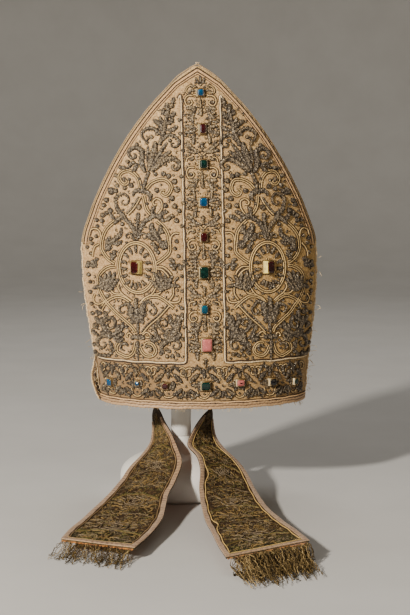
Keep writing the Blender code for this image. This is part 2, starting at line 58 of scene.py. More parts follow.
# ------------------------------------------------------------ the horn's face
GAP = 0.0003
MITRE_X, MITRE_Y, RIM_Z = 0.0281, -0.010, 0.120
LEAN, HORN_H, CLEFT_H, PANEL_T, TIP_IN = -0.0245, 0.414, 0.195, 0.0026, 0.045
BAND_HALF, BAND_SHIFT, BAND_H = 0.0236, (-0.0008, 0.0032), 0.0555
RING_X, RING_H, RING_A, RING_B = 0.0795, 0.1706, 0.0215, 0.0297
# height above the rim, half width, depth of the arc, opening angle of the arc
SECTIONS = np.array((
    (0.000, 0.1286, 0.0700, 78.0), (0.040, 0.1325, 0.0705, 75.0),
    (0.080, 0.1380, 0.0705, 72.0), (0.120, 0.1430, 0.0700, 69.0),
    (0.160, 0.1460, 0.0690, 66.0), (0.195, 0.1462, 0.0670, 64.0),
    (0.240, 0.1330, 0.0570, 61.0), (0.280, 0.1144, 0.0445, 58.0),
    (0.320, 0.0911, 0.0310, 55.0), (0.360, 0.0612, 0.0165, 52.0),
    (0.385, 0.0380, 0.0080, 50.0), (0.400, 0.0225, 0.0040, 50.0),
    (0.414, 0.0020, 0.0006, 50.0),
))


def _slopes(xs, ys):
    d = np.diff(ys) / np.diff(xs)
    m = np.zeros(len(xs))
    m[0], m[-1] = d[0], d[-1]
    for i in range(1, len(xs) - 1):
        if d[i - 1] * d[i] > 0:
            m[i] = 2 * d[i - 1] * d[i] / (d[i - 1] + d[i])
    return m


_M = [_slopes(SECTIONS[:, 0], SECTIONS[:, k]) for k in (1, 2, 3)]


def section(k, x):
    """Monotone cubic through a column of the table."""
    xs, ys, m = SECTIONS[:, 0], SECTIONS[:, k], _M[k - 1]
    x = np.asarray(x, float)
    i = np.clip(np.searchsorted(xs, x) - 1, 0, len(xs) - 2)
    w = xs[i + 1] - xs[i]
    t = (x - xs[i]) / w
    return ((2 * t ** 3 - 3 * t ** 2 + 1) * ys[i] + (t ** 3 - 2 * t ** 2 + t) * w * m[i]
            + (3 * t ** 2 - 2 * t ** 3) * ys[i + 1] + (t ** 3 - t ** 2) * w * m[i + 1])


def half_width(h):
    return section(1, h)


def dent(x, h, side):
    """Slight unevenness of the old stiffened panels, under half a millimetre."""
    a = np.sin(31 * x + 17 * h + side) * np.cos(23 * h - 11 * x + 2 * side)
    b = np.sin(83 * x - 57 * h) * np.cos(71 * h + 1.3 * side)
    return 0.00028 * a + 0.00010 * b


def face(x, h, side=-1, rough=True):
    x, h = np.broadcast_arrays(np.asarray(x, float), np.asarray(h, float))
    w, depth, big = section(1, h), section(2, h), np.radians(section(3, h))
    lean = np.maximum(0, (h - CLEFT_H) / (HORN_H - CLEFT_H)) ** 1.1
    t = np.arcsin(np.clip(x / w, -1, 1) * np.sin(big))
    inner = (np.cos(t) - np.cos(big)) / (1 - np.cos(big))
    y = 0.0006 + TIP_IN * lean + depth * inner
    if rough:
        y = y + dent(x, h, side) * np.minimum(1, inner * 4)
    return np.stack([MITRE_X + x + LEAN * h, MITRE_Y + side * y, RIM_Z + h], -1)


def unit(v):
    return v / np.maximum(np.linalg.norm(v, axis=-1, keepdims=True), 1e-12)


def face_frame(x, h, side=-1):
    """Point and outward normal at places on a horn's cloth."""
    x, h = np.broadcast_arrays(np.asarray(x, float), np.asarray(h, float))
    e = 0.0008
    h = np.clip(h, 0.0, HORN_H - 1e-5)
    lim = half_width(h) - 2e-5
    x = np.clip(x, -lim, lim)
    h0, h1 = np.maximum(0, h - e), np.minimum(HORN_H, h + e)
    xm = np.sign(x) * np.minimum(np.abs(x), np.minimum(half_width(h0), half_width(h1)) - 1e-5)
    across = face(np.minimum(lim, x + e), h, side) - face(np.maximum(-lim, x - e), h, side)
    up = face(xm, h1, side) - face(xm, h0, side)
    n = unit(np.cross(across, up))
    n = n * np.where(n[..., 1:2] * side < 0, -1.0, 1.0)
    return face(x, h, side), n


def band_middle(h):
    return BAND_SHIFT[0] + (BAND_SHIFT[1] - BAND_SHIFT[0]) * h / HORN_H


# ------------------------------------------------------------------ mesh heaps
class Heap:
    """Collects parts of one mesh: points, faces, and for each point a tone
    (one number a motif), a crest (0 at a motif's foot, 1 on its top) and the
    place along and across it in metres."""

    def __init__(self):
        self.v, self.f, self.m, self.uv, self.tone, self.crest = [], [], [], [], [], []
        self.n = 0

    def add(self, points, faces, uv=None, tone=0.5, crest=1.0, mat=0):
        points = np.asarray(points, float).reshape(-1, 3)
        k = len(points)
        self.v.append(points)
        self.f += [tuple(int(i) + self.n for i in f) for f in faces]
        self.m += [mat] * len(faces)
        self.uv.append(np.zeros((k, 2)) if uv is None else np.asarray(uv, float).reshape(-1, 2))
        self.tone.append(np.broadcast_to(np.asarray(tone, float), (k,)))
        self.crest.append(np.broadcast_to(np.asarray(crest, float), (k,)))
        self.n += k

    def grid(self, pts, uv=None, tone=0.5, crest=1.0, mat=0, wrap=False, close=False, flip=False):
        """A grid (rows, cols, 3); wrap joins its last column to the first."""
        r, c = pts.shape[:2]
        idx = np.arange(r * c).reshape(r, c)
        a = idx[:-1]
        b = idx[1:]
        if wrap:
            q = np.stack([a, np.roll(a, -1, 1), np.roll(b, -1, 1), b], -1).reshape(-1, 4)
        else:
            q = np.stack([a[:, :-1], a[:, 1:], b[:, 1:], b[:, :-1]], -1).reshape(-1, 4)
        if flip:
            q = q[:, ::-1]
        faces = [tuple(f) for f in q]
        if close:
            lo, hi = tuple(idx[0][::-1]), tuple(idx[-1])
            faces += [lo[::-1], hi[::-1]] if flip else [lo, hi]
        if uv is not None:
            uv = np.asarray(uv).reshape(-1, 2)
        if np.ndim(tone):
            tone = np.asarray(tone).reshape(-1)
        if np.ndim(crest):
            crest = np.asarray(crest).reshape(-1)
        self.add(pts.reshape(-1, 3), faces, uv, tone, crest, mat)

    def build(self, name, mats, slot=None, nodes=(), smooth=True, sharp=None, ride=True):
        mesh = bpy.data.meshes.new(name)
        V = np.concatenate(self.v)
        mesh.from_pydata(V.tolist(), [], self.f)
        for m in mats:
            mesh.materials.append(m)
        mesh.polygons.foreach_set("material_index", np.array(self.m, np.int32))
        uv = np.concatenate(self.uv)
        li = np.empty(len(mesh.loops), np.int32)
        mesh.loops.foreach_get("vertex_index", li)
        layer = mesh.uv_layers.new(name="UVMap")
        layer.data.foreach_set("uv", uv[li].astype(np.float32).ravel())
        for key, val in (("tone", self.tone), ("crest", self.crest)):
            att = mesh.attributes.new(key, "FLOAT", "POINT")
            att.data.foreach_set("value", np.concatenate(val).astype(np.float32))
        mesh.validate()
        if smooth:
            mesh.shade_smooth()
            if sharp:
                mesh.set_sharp_from_angle(angle=math.radians(sharp))
        else:
            mesh.shade_flat()
        obj = bpy.data.objects.new(name, mesh)
        bpy.context.scene.collection.objects.link(obj)
        if ride:
            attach(obj, "root")
        if nodes:
            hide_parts(*nodes)
        return obj


def resample(pts, step, cyclic=False):
    """Catmull-Rom through a short row of points, evenly spaced."""
    P = np.asarray(pts, float)
    if cyclic:
        Q = np.concatenate([P[-1:], P, P[:2]])
    else:
        Q = np.concatenate([2 * P[:1] - P[1:2], P, 2 * P[-1:] - P[-2:-1]])
    out = []
    for i in range(len(Q) - 3):
        p0, p1, p2, p3 = Q[i:i + 4]
        t = np.linspace(0, 1, 12, endpoint=False)[:, None]
        out.append(0.5 * (2 * p1 + (p2 - p0) * t + (2 * p0 - 5 * p1 + 4 * p2 - p3) * t ** 2
                          + (3 * p1 - p0 - 3 * p2 + p3) * t ** 3))
    out.append(Q[-2][None])
    D = np.concatenate(out)
    s = np.r_[0, np.cumsum(np.linalg.norm(np.diff(D, axis=0), axis=1))]
    n = max(3, int(round(s[-1] / step)) + 1)
    q = np.linspace(0, s[-1], n)
    return np.stack([np.interp(q, s, D[:, k]) for k in range(D.shape[1])], -1), q


def side_of(P):
    """Unit sideways direction along a flat path."""
    T = unit(np.gradient(P, axis=0))
    return np.stack([-T[:, 1], T[:, 0]], -1)


def tube_on(heap, pts, nrm, radius, sides=6, tone=0.5, lift=0.8, closed=False, mat=0, twist=0.0,
            pitch=0.003, phase=0.0):
    """A round cord laid on a surface: pts and nrm are rows of points and
    normals; twist is how far a second strand makes it lobed."""
    n = len(pts)
    if closed:
        T = unit(np.roll(pts, -1, 0) - np.roll(pts, 1, 0))
    else:
        T = unit(np.gradient(pts, axis=0))
    N = unit(nrm - T * np.sum(nrm * T, -1, keepdims=True))
    B = np.cross(T, N)
    s = np.r_[0, np.cumsum(np.linalg.norm(np.diff(pts, axis=0), axis=1))]
    a = np.linspace(0, 2 * np.pi, sides, endpoint=False)
    r = np.broadcast_to(np.asarray(radius, float), (n,))[:, None] * np.ones(sides)
    if twist:
        r = r * (1 - twist + twist * np.abs(np.cos(a[None] - s[:, None] * np.pi / pitch - phase)) * 1.5)
    c = pts + N * (np.asarray(lift) * np.asarray(radius)).reshape(-1, 1)
    ring = (c[:, None] + r[..., None] * (np.cos(a)[None, :, None] * B[:, None]
                                          + np.sin(a)[None, :, None] * N[:, None]))
    # crest: 1 on a cord's side away from the cloth, 0 against it; the materials paint shade and highlight from it
    crest = np.broadcast_to((0.5 + 0.5 * np.sin(a))[None], (n, sides))
    uv = np.stack(np.broadcast_arrays(s[:, None], a[None] * 0.0006), -1)
    if closed:
        ring = np.concatenate([ring, ring[:1]])
        crest = np.concatenate([crest, crest[:1]])
        uv = np.concatenate([uv, uv[:1]])
    heap.grid(ring, uv, tone, crest, mat, wrap=True, close=not closed)


# --------------------------------------------- motifs, charted in (x, h) pairs
class Cloth:
    """Where a motif is laid: place(x, h) gives points and normals."""

    def __init__(self, place, coarse=1.0):
        self.place, self.coarse = place, coarse

    def cord(self, heap, pts, radius=0.00056, pair=False, tone=0.6, closed=False, mat=0, shade=1):
        step = 0.0011 * self.coarse
        P, s = resample(pts, step, closed)
        if closed:
            P = P[:-1]
        for off in ((-1.85, 1.85) if pair else (0,)):
            if closed:
                T = unit(np.roll(P, -1, 0) - np.roll(P, 1, 0))
                S = np.stack([-T[:, 1], T[:, 0]], -1)
            else:
                S = side_of(P)
            Q = P + S * radius * off
            pt, nn = self.place(Q[:, 0], Q[:, 1])
            tube_on(heap, pt, nn, radius, 5,
                    tone + rng.uniform(-.06, .06), 0.85, closed, mat)
        if self.coarse > 1.2 or shade is None:
            return
        # painted shade: dark tubes close along both sides of each cord, and between the two of a pair, stand for the
        # shadow the raised cord casts on the silk
        P, s = resample(pts, step * 1.6, closed)
        if closed:
            P = P[:-1]
            T = unit(np.roll(P, -1, 0) - np.roll(P, 1, 0))
            S = np.stack([-T[:, 1], T[:, 0]], -1)
        else:
            S = side_of(P)
        for off in ((-3.5, 0.0, 3.5) if pair else (-1.8, 1.8)):
            r = (0.00072 if pair else 0.00068) if off else 0.00062
            Q = P + S * radius * off
            pt, nn = self.place(Q[:, 0], Q[:, 1])
            tube_on(heap, pt, nn, r, 3, 0.4, 0.42 if off else 0.80, closed, shade)

    def leaf(self, heap, pts, width, kind="leaf", tone=None, tall=1.0, mat=0):
        if tone is None:
            tone = rng.uniform(0.1, 0.95)
        step = 0.00112 * self.coarse
        P, s = resample(pts, step)
        n = len(P)
        L = s[-1]
        t = s / L
        if kind == "leaf":
            w = (t + 0.035) ** 0.45 * (1.010 - t) ** 0.36 / 0.56
        elif kind == "curl":
            w = (0.34 + 0.72 * (1 - t) ** 0.7) * np.minimum(1, ((1.01 - t) * L / 0.0012) ** 0.5)
            w = w * np.minimum(1, 0.55 + t * 3)
        elif kind == "club":
            w = (0.32 + 0.68 * t ** 1.3) * np.minimum(1, ((1.012 - t) * L / (width * 0.45)) ** 0.5)
        else:                                   # stem
            w = 0.9 * np.minimum(1, np.minimum(t + 0.02, 1.02 - t) * L / 0.0016) ** 0.5
        if kind in ("leaf", "curl") and width > 0.0034:
            w = w * (0.80 + 0.24 * np.abs(np.sin(np.pi * s / 0.0037 + tone * 5)) ** 0.7)
        half = np.maximum(width * w / 2, 0.00012)
        m = 7 if width > 0.0038 else 6
        if self.coarse > 1.2:
            m -= 1
        v = np.sin(np.linspace(-1, 1, m) * np.pi / 2 * 0.94)
        v = v / v[-1]
        S = side_of(P)
        Q = P[:, None] + S[:, None] * (v[None, :, None] * half[:, None, None])
        pt, nn = self.place(Q[..., 0], Q[..., 1])
        high = min(0.0026, 0.00075 + width * 0.34) * tall * np.minimum(1, half / (width * 0.30)) ** 0.6
        dome = np.maximum(0, 1 - v[None] ** 2) ** 0.55
        z = high[:, None] * dome
        z = z + 0.00013 * dome * np.sin(2 * np.pi * (s[:, None] / 0.0019 + np.abs(v)[None] * 0.7 * width / 0.004))
        if width > 0.0044 and kind == "leaf":
            z = z - 0.00045 * np.exp(-(v[None] / 0.2) ** 2) * np.minimum(1, half[:, None] / (width * 0.35))
        z = z + np.where(np.abs(v)[None] > 0.99, -0.0003, 0.0)
        top = pt + nn * z[..., None]
        crest = np.clip(dome * np.ones((n, 1)), 0, 1)
        crest[0] *= 0.4
        crest[-1] *= 0.4
        low = pt[:, ::-1][:, [0, -1]] - nn[:, ::-1][:, [0, -1]] * 0.0004
        full = np.concatenate([top, low], 1)
        cr = np.concatenate([crest, np.zeros((n, 2))], 1)
        uv = np.stack(np.broadcast_arrays(s[:, None], np.r_[v, v[-1], v[0]][None] * half[:, None]), -1)
        heap.grid(full, uv, tone, cr, mat, wrap=True, close=True, flip=True)

    def knot(self, heap, x, h, long, wide, angle, high, tone, mat=0):
        """A small domed stitch, longer than wide."""
        sides = 6
        a = np.linspace(0, 2 * np.pi, sides, endpoint=False)
        f = np.array([1.0, 0.82, 0.38])[:, None]
        z = np.array([-0.0003, 0.66, 1.0]) * np.array([1, high, high])
        u, v = f * np.cos(a) * long, f * np.sin(a) * wide
        ca, sa = math.cos(angle), math.sin(angle)
        pt, nn = self.place(x + u * ca - v * sa, h + u * sa + v * ca)
        crest = np.broadcast_to(np.array([0, .55, 1.0])[:, None], (3, sides))
        heap.grid(pt + nn * z[:, None, None], np.stack([u, v], -1), tone, crest, mat, wrap=True, close=True)

    def lobes(self, heap, pts, width, tone=0.5, every=0.0033, mat=0):
        """Scallops down both sides of a padded leaf."""
        P, s = resample(pts, every)
        if len(P) < 4:
            return
        S, T = side_of(P), unit(np.gradient(P, axis=0))
        for k in range(1, len(P) - 1):
            t = s[k] / s[-1]
            size = (0.50 + 0.55 * math.sin(math.pi * min(1, t * 1.1)))
            for sg in (-1, 1):
                long = (0.0012 + width * 0.10) * size * rng.uniform(0.75, 1.2)
                d = unit(S[k] * sg + T[k] * rng.uniform(0.5, 0.95))
                c = P[k] + S[k] * sg * width * 0.40 * size + d * long * 0.45 + T[k] * (0.0008 if sg > 0 else 0)
                self.knot(heap, c[0], c[1], long, long * rng.uniform(0.50, 0.68), math.atan2(d[1], d[0]),
                          rng.uniform(0.0010, 0.0017), float(np.clip(tone + rng.uniform(-.2, .2), 0, 1)), mat)

    def berry(self, heap, x, h, r, tone=None, high=None, mat=0):
        """A small coiled dome."""
        if tone is None:
            tone = rng.uniform(0.05, 0.9)
        high = high or min(0.0024, 0.62 * r + 0.0004)
        sides, rings = (8, 3) if self.coarse < 1.2 else (7, 3)
        a = np.linspace(0, 2 * np.pi, sides, endpoint=False)
        turn = rng.uniform(0, 6.3)
        f = np.array([1.0, 0.86, 0.55, 0.24, 0.08])[:rings + 1]
        z = np.array([-0.0003, 0.62, 0.94, 1.02, 1.0]) * np.array([1, high, high, high, high])
        z = z[:rings + 1]
        R = f[:, None] * r * (1 + 0.10 * np.sin(3 * a + turn))[None]
        X, H = x + R * np.cos(a), h + R * np.sin(a)
        pt, nn = self.place(X, H)
        pts = pt + nn * z[:, None, None]
        crest = np.broadcast_to(np.array([0, .50, .85, 1.0, .9])[:rings + 1, None], (rings + 1, sides))
        uv = np.stack([R * np.cos(a), R * np.sin(a)], -1)
        heap.grid(pts, uv, tone, crest, mat, wrap=True, close=True)


def scatter(local, taken, box, inside, clear, spacing, tries):
    """Free places on the ground between the charted motifs."""
    T, out = np.concatenate(taken), []
    for _ in range(tries):
        p = np.array([local.uniform(box[0], box[1]), local.uniform(box[2], box[3])])
        if not inside(p[0], p[1]) or np.min(np.sum((T - p) ** 2, 1)) < clear ** 2:
            continue
        if out and np.min(np.sum((np.array(out) - p) ** 2, 1)) < spacing ** 2:
            continue
        out.append(p)
    return out


def filler(cloth, heap, local, p, size, tones):
    """A small curl, a pair of lobes or a knot in a free place."""
    tone, a, sg = local.uniform(*tones), local.uniform(0, 2 * math.pi), 1 if local.random() < .5 else -1
    pick = local.random()
    if pick < 0.62:
        t = np.linspace(0, 4.4, 7)
        r = size * (1.0 - 0.14 * t)
        pts = p + np.stack([r * np.cos(a + sg * t), r * np.sin(a + sg * t)], -1)
        cloth.leaf(heap, pts, size * 0.92, "curl", tone)
    elif pick < 0.82:
        for k in (-1, 1):
            d = np.array([math.cos(a + k * .55), math.sin(a + k * .55)])
            cloth.leaf(heap, [p - d * size * .5, p + d * size * .25, p + d * size * 1.0], size * 0.95, "leaf", tone)
    else:
        cloth.berry(heap, p[0], p[1], size * 0.88, tone)


front = Cloth(lambda x, h: face_frame(x, h, -1))
back = Cloth(lambda x, h: face_frame(x, h, 1), coarse=2.0)


def mirrored(cloth, sign):
    """The same cloth with x turned over, so one chart serves both fields."""
    return Cloth(lambda x, h: cloth.place(sign * x, h), cloth.coarse)


# --------------------------------------------------- chart of the left field
# Each row: kind, width in mm, then places in mm (across from the middle, above
# the rim).  pair and cord are couched gold, the others padded silver.
FIELD = (
    ("pair", 0.0, (-72.3, 264.7), (-73.7, 274.4), (-76.7, 280.7), (-81.4, 285.1), (-87.9, 287.3), (-94.4, 285.1), (-97.8, 279.8), (-95.8, 274.3), (-91.7, 271.1), (-87.7, 273.7), (-89.3, 278.1)),
    ("pair", 0.0, (-65.4, 265.7), (-60.4, 271.7), (-53.8, 275.4), (-46.4, 277.0), (-40.0, 274.8), (-35.9, 269.0), (-37.1, 262.6), (-41.6, 257.9), (-46.3, 259.4), (-46.8, 263.1), (-43.6, 262.6)),
    ("stem", 3.1, (-74.8, 256.1), (-79.3, 248.6), (-84.9, 240.9), (-90.6, 235.5)),
    ("cord", 0.0, (-72.8, 255.4), (-77.1, 247.6), (-82.9, 239.8), (-88.4, 234.2)),
    ("pair", 0.0, (-68.9, 257.2), (-67.5, 248.7), (-65.6, 241.1), (-60.5, 234.8)),
    ("cord", 0.0, (-52.9, 234.8), (-47.5, 242.3), (-48.2, 250.8), (-53.4, 254.0), (-57.8, 250.7), (-56.9, 246.5), (-53.7, 246.6)),
    ("pair", 0.0, (-100.5, 228.9), (-108.4, 223.3), (-115.1, 216.7), (-119.6, 207.8), (-121.8, 197.9), (-121.7, 191.5), (-116.5, 182.7), (-110.3, 177.5), (-106.3, 175.5)),
    ("pair", 0.0, (-54.2, 227.3), (-48.1, 221.9), (-42.9, 214.5), (-40.5, 205.9), (-40.0, 190.6), (-48.2, 181.6), (-56.2, 176.2)),
    ("pair", 0.0, (-105.9, 171.5), (-113.2, 170.2), (-119.8, 166.3), (-125.5, 159.7), (-127.1, 152.3), (-126.9, 144.1), (-124.4, 137.0), (-119.2, 128.3), (-114.8, 122.3)),
    ("cord", 0.0, (-56.4, 171.8), (-48.4, 171.9), (-42.3, 167.6), (-38.2, 162.3)),
    ("cord", 0.0, (-55.9, 169.6), (-49.7, 168.7), (-45.1, 164.7), (-41.6, 159.9)),
    ("pair", 0.0, (-125.1, 116.8), (-121.2, 123.5), (-115.5, 129.4), (-108.1, 133.6), (-100.8, 134.4), (-94.7, 132.5), (-88.5, 128.2)),
    ("pair", 0.0, (-76.2, 127.0), (-71.6, 132.5), (-64.4, 135.7), (-55.6, 135.9), (-47.8, 132.0), (-41.8, 126.8), (-36.6, 122.5)),
    ("cord", 0.0, (-102.2, 150.1), (-103.2, 145.6), (-98.9, 138.5), (-92.0, 133.4), (-86.8, 129.3)),
    ("cord", 0.0, (-113.2, 143.2), (-108.0, 138.1), (-98.9, 137.7)),
    ("cord", 0.0, (-57.8, 151.5), (-57.9, 146.1), (-62.6, 138.9), (-70.7, 134.2), (-76.2, 127.8)),
    ("cord", 0.0, (-49.2, 145.3), (-53.7, 139.9), (-59.9, 138.9)),
    ("pair", 0.0, (-116.5, 124.9), (-106.9, 114.7), (-98.9, 107.8), (-87.9, 98.1), (-83.4, 91.6)),
    ("stem", 2.3, (-43.5, 126.7), (-51.7, 117.7), (-58.0, 111.3), (-69.3, 101.7), (-77.0, 91.9)),
    ("cord", 0.0, (-41.4, 125.6), (-49.8, 116.2), (-56.2, 109.7), (-67.3, 99.9), (-74.6, 91.1)),
    ("cord", 0.0, (-136.6, 208.3), (-134.2, 215.0), (-128.4, 216.8), (-123.5, 213.2), (-122.1, 206.6)),
    ("cord", 0.0, (-125.1, 197.8), (-130.3, 194.2), (-132.8, 187.6), (-133.6, 181.9)),
    ("cord", 0.0, (-131.9, 135.5), (-134.4, 129.7), (-132.3, 124.4), (-126.7, 123.6), (-119.2, 128.3)),
    ("cord", 0.0, (-39.1, 198.4), (-37.7, 208.0), (-33.4, 212.4), (-28.0, 212.4)),
    ("cord", 0.0, (-36.8, 147.3), (-37.0, 138.4), (-41.7, 131.3)),
    ("cord", 0.0, (-28.3, 135.9), (-30.2, 130.5), (-36.5, 128.7), (-42.5, 130.4)),
    ("pair", 0.0, (-83.8, 79.4), (-85.0, 71.7), (-88.0, 64.9), (-94.7, 60.6), (-100.3, 62.1), (-106.8, 65.4), (-107.4, 72.3), (-103.0, 78.2), (-96.8, 78.6)),
    ("curl", 4.4, (-93.0, 74.6), (-97.0, 77.0), (-101.4, 74.4), (-101.4, 69.6), (-97.2, 67.8)),
    ("pair", 0.0, (-79.3, 74.0), (-75.9, 66.6), (-70.4, 63.1), (-63.0, 64.4), (-60.1, 70.0), (-62.7, 76.6), (-68.0, 79.2), (-72.4, 76.6)),
    ("curl", 4.4, (-72.6, 72.6), (-69.6, 75.6), (-65.4, 73.8), (-65.4, 69.4), (-69.2, 68.0)),
    ("cord", 0.0, (-87.3, 86.7), (-91.0, 90.2), (-94.2, 87.3), (-93.0, 84.6)),
    ("cord", 0.0, (-75.3, 88.3), (-70.4, 92.2), (-66.4, 89.5), (-67.8, 85.8), (-71.6, 86.5)),
    ("stem", 5.0, (-61.5, 286.5), (-65.5, 277.6), (-68.7, 265.0)),
    ("leaf", 5.5, (-81.7, 256.5), (-80.1, 261.8), (-75.2, 263.8), (-69.7, 262.6), (-64.2, 261.2), (-60.9, 256.1), (-62.6, 250.6)),
    ("curl", 7.4, (-66.3, 285.4), (-70.3, 296.9), (-69.0, 305.6), (-69.8, 312.0), (-77.2, 315.3), (-83.8, 312.1), (-85.1, 307.2), (-81.7, 302.4), (-76.5, 304.5), (-79.1, 308.3)),
    ("leaf", 7.7, (-62.0, 287.1), (-58.4, 302.7), (-54.2, 312.3), (-52.9, 322.8)),
    ("leaf", 3.1, (-63.8, 296.7), (-62.8, 307.6), (-61.6, 317.4)),
    ("leaf", 4.6, (-58.8, 289.3), (-50.8, 303.3), (-45.2, 312.9), (-38.5, 321.1)),
    ("leaf", 4.8, (-50.1, 298.7), (-42.4, 305.8), (-34.4, 310.9)),
    ("curl", 8.2, (-58.9, 286.6), (-51.1, 293.7), (-42.4, 300.0), (-32.7, 302.1), (-26.5, 297.8), (-25.6, 292.6), (-30.0, 288.3), (-34.1, 291.5), (-30.9, 294.7)),
    ("stem", 5.5, (-48.1, 317.7), (-47.0, 321.5), (-43.6, 330.0), (-41.2, 337.6), (-40.4, 343.7), (-37.8, 353.7), (-35.6, 362.7)),
    ("curl", 4.8, (-45.3, 329.1), (-48.8, 333.3), (-54.0, 337.7), (-61.4, 338.3), (-68.1, 333.6), (-68.2, 328.2), (-64.1, 323.3), (-60.7, 327.0), (-63.9, 329.2)),
    ("curl", 4.8, (-44.3, 323.1), (-41.6, 326.8), (-36.1, 330.6), (-28.7, 327.8), (-24.6, 322.5), (-26.9, 317.1), (-32.2, 315.6), (-34.3, 319.8), (-30.5, 320.4)),
    ("leaf", 4.3, (-33.5, 362.0), (-31.1, 368.2), (-28.5, 375.9)),
    ("leaf", 5.5, (-35.9, 360.3), (-38.4, 364.4), (-35.7, 368.7)),
    ("leaf", 5.0, (-38.5, 353.6), (-42.5, 357.3), (-41.8, 362.3)),
    ("leaf", 5.0, (-36.2, 351.9), (-31.6, 353.5), (-28.3, 358.3)),
    ("leaf", 5.3, (-39.6, 343.5), (-34.8, 345.1), (-30.3, 349.7)),
    ("leaf", 5.0, (-39.3, 336.7), (-32.2, 336.4), (-25.6, 341.0)),
    ("leaf", 5.8, (-42.6, 338.2), (-47.9, 343.8), (-54.5, 349.0)),
    ("leaf", 4.8, (-41.2, 345.4), (-45.2, 347.6), (-46.2, 352.7)),
    ("leaf", 4.1, (-42.6, 332.0), (-45.1, 336.3), (-48.8, 338.3)),
    ("club", 5.8, (-79.9, 207.1), (-78.4, 217.3), (-77.0, 227.7), (-75.8, 237.3)),
    ("leaf", 5.0, (-79.8, 206.7), (-82.1, 216.0), (-87.5, 224.9), (-96.5, 231.0)),
    ("leaf", 5.0, (-78.4, 206.7), (-73.7, 218.1), (-67.7, 227.3), (-58.2, 232.1)),
    ("curl", 3.6, (-79.9, 204.0), (-82.8, 205.4), (-84.8, 210.8), (-88.5, 211.8), (-91.6, 208.5), (-89.3, 205.8), (-86.8, 208.2)),
    ("curl", 3.6, (-79.2, 204.0), (-77.3, 206.0), (-74.0, 211.0), (-69.7, 212.1), (-66.9, 208.9), (-69.9, 205.4), (-72.1, 208.3)),
    ("leaf", 5.5, (-89.6, 228.2), (-95.0, 234.4), (-100.2, 239.7), (-102.8, 247.6)),
    ("curl", 4.3, (-100.6, 241.1), (-102.6, 247.6), (-103.0, 253.7), (-98.5, 258.1), (-92.0, 259.2), (-87.2, 254.9), (-88.0, 248.5), (-92.4, 246.3), (-96.0, 249.5), (-93.2, 252.1)),
    ("leaf", 5.3, (-105.6, 222.4), (-100.5, 228.3), (-94.3, 231.8), (-88.7, 226.3)),
    ("leaf", 4.3, (-103.2, 227.0), (-107.5, 231.1), (-110.3, 236.6)),
    ("leaf", 5.8, (-65.5, 226.8), (-58.6, 232.9), (-51.0, 232.4), (-45.0, 225.8)),
    ("leaf", 4.8, (-52.2, 232.7), (-45.8, 237.2), (-39.8, 238.2)),
    ("leaf", 4.6, (-59.3, 233.6), (-59.4, 239.8), (-55.4, 244.4)),
    ("leaf", 4.8, (-46.1, 227.9), (-40.3, 229.6), (-36.1, 234.9)),
    ("leaf", 5.0, (-82.0, 286.2), (-78.0, 290.0), (-75.1, 296.8)),
    ("leaf", 3.8, (-88.4, 290.1), (-83.9, 293.7), (-82.6, 298.5)),
    ("leaf", 5.5, (-117.2, 188.9), (-112.7, 197.4), (-105.9, 203.9), (-98.6, 210.2), (-96.6, 218.9)),
    ("leaf", 5.0, (-113.9, 192.9), (-114.6, 201.0), (-110.4, 208.0)),
    ("leaf", 4.3, (-108.3, 199.0), (-101.6, 198.9), (-96.2, 203.2)),
    ("leaf", 4.3, (-112.5, 187.9), (-108.0, 183.6), (-103.8, 185.5)),
    ("leaf", 8.4, (-50.7, 200.3), (-55.1, 208.4), (-59.8, 216.5), (-62.3, 223.0)),
    ("leaf", 5.0, (-55.4, 205.0), (-62.3, 206.9), (-65.5, 213.1)),
    ("leaf", 5.3, (-52.6, 210.8), (-49.3, 216.6), (-51.3, 222.6)),
    ("leaf", 5.0, (-48.6, 192.6), (-43.9, 197.7), (-44.1, 204.9)),
    ("leaf", 4.3, (-52.8, 194.9), (-57.5, 197.5), (-60.0, 202.6)),
    ("leaf", 5.3, (-119.8, 140.3), (-112.8, 149.4), (-109.1, 156.9), (-105.9, 164.7)),
    ("leaf", 5.0, (-120.7, 141.0), (-116.4, 150.9), (-113.4, 159.4), (-112.3, 165.8)),
    ("leaf", 4.8, (-121.7, 141.4), (-119.9, 150.4), (-118.2, 157.2), (-118.5, 163.1)),
    ("leaf", 4.8, (-122.7, 142.1), (-123.5, 149.2), (-123.5, 154.9), (-125.7, 158.5)),
    ("leaf", 4.6, (-121.7, 141.9), (-127.4, 145.2), (-134.9, 142.3)),
    ("leaf", 5.0, (-118.1, 139.7), (-111.5, 143.8), (-106.8, 151.4), (-101.5, 156.5)),
    ("leaf", 5.3, (-47.8, 142.9), (-53.3, 152.0), (-55.5, 159.0), (-59.9, 165.9)),
    ("leaf", 5.0, (-47.1, 143.9), (-49.7, 153.3), (-51.6, 160.5), (-53.1, 167.0)),
    ("leaf", 4.8, (-46.1, 144.4), (-44.7, 153.1), (-45.9, 159.4), (-46.5, 164.2)),
    ("leaf", 4.8, (-45.1, 144.9), (-41.4, 151.5), (-40.2, 157.0), (-36.5, 161.6)),
    ("leaf", 5.0, (-46.6, 145.1), (-38.5, 149.8), (-28.5, 148.4)),
    ("leaf", 4.8, (-50.2, 143.1), (-55.6, 146.9), (-60.0, 153.1), (-64.7, 156.7)),
    ("leaf", 3.6, (-36.0, 154.4), (-32.8, 157.1), (-30.1, 160.5)),
    ("leaf", 5.3, (-82.1, 116.5), (-81.9, 126.3), (-82.0, 134.1)),
    ("curl", 4.6, (-85.5, 115.1), (-90.4, 126.0), (-95.8, 125.2), (-101.2, 122.2), (-102.2, 117.7), (-98.8, 114.2), (-95.5, 117.3)),
    ("curl", 4.6, (-78.5, 115.4), (-73.5, 126.7), (-67.2, 129.9), (-61.2, 124.7), (-57.9, 119.4), (-61.5, 114.0), (-66.3, 117.4), (-63.1, 120.6)),
    ("leaf", 7.2, (-82.0, 103.0), (-88.0, 111.8), (-89.0, 120.3), (-91.9, 126.6)),
    ("leaf", 7.2, (-81.5, 103.0), (-75.2, 112.3), (-74.2, 120.9), (-70.6, 127.4)),
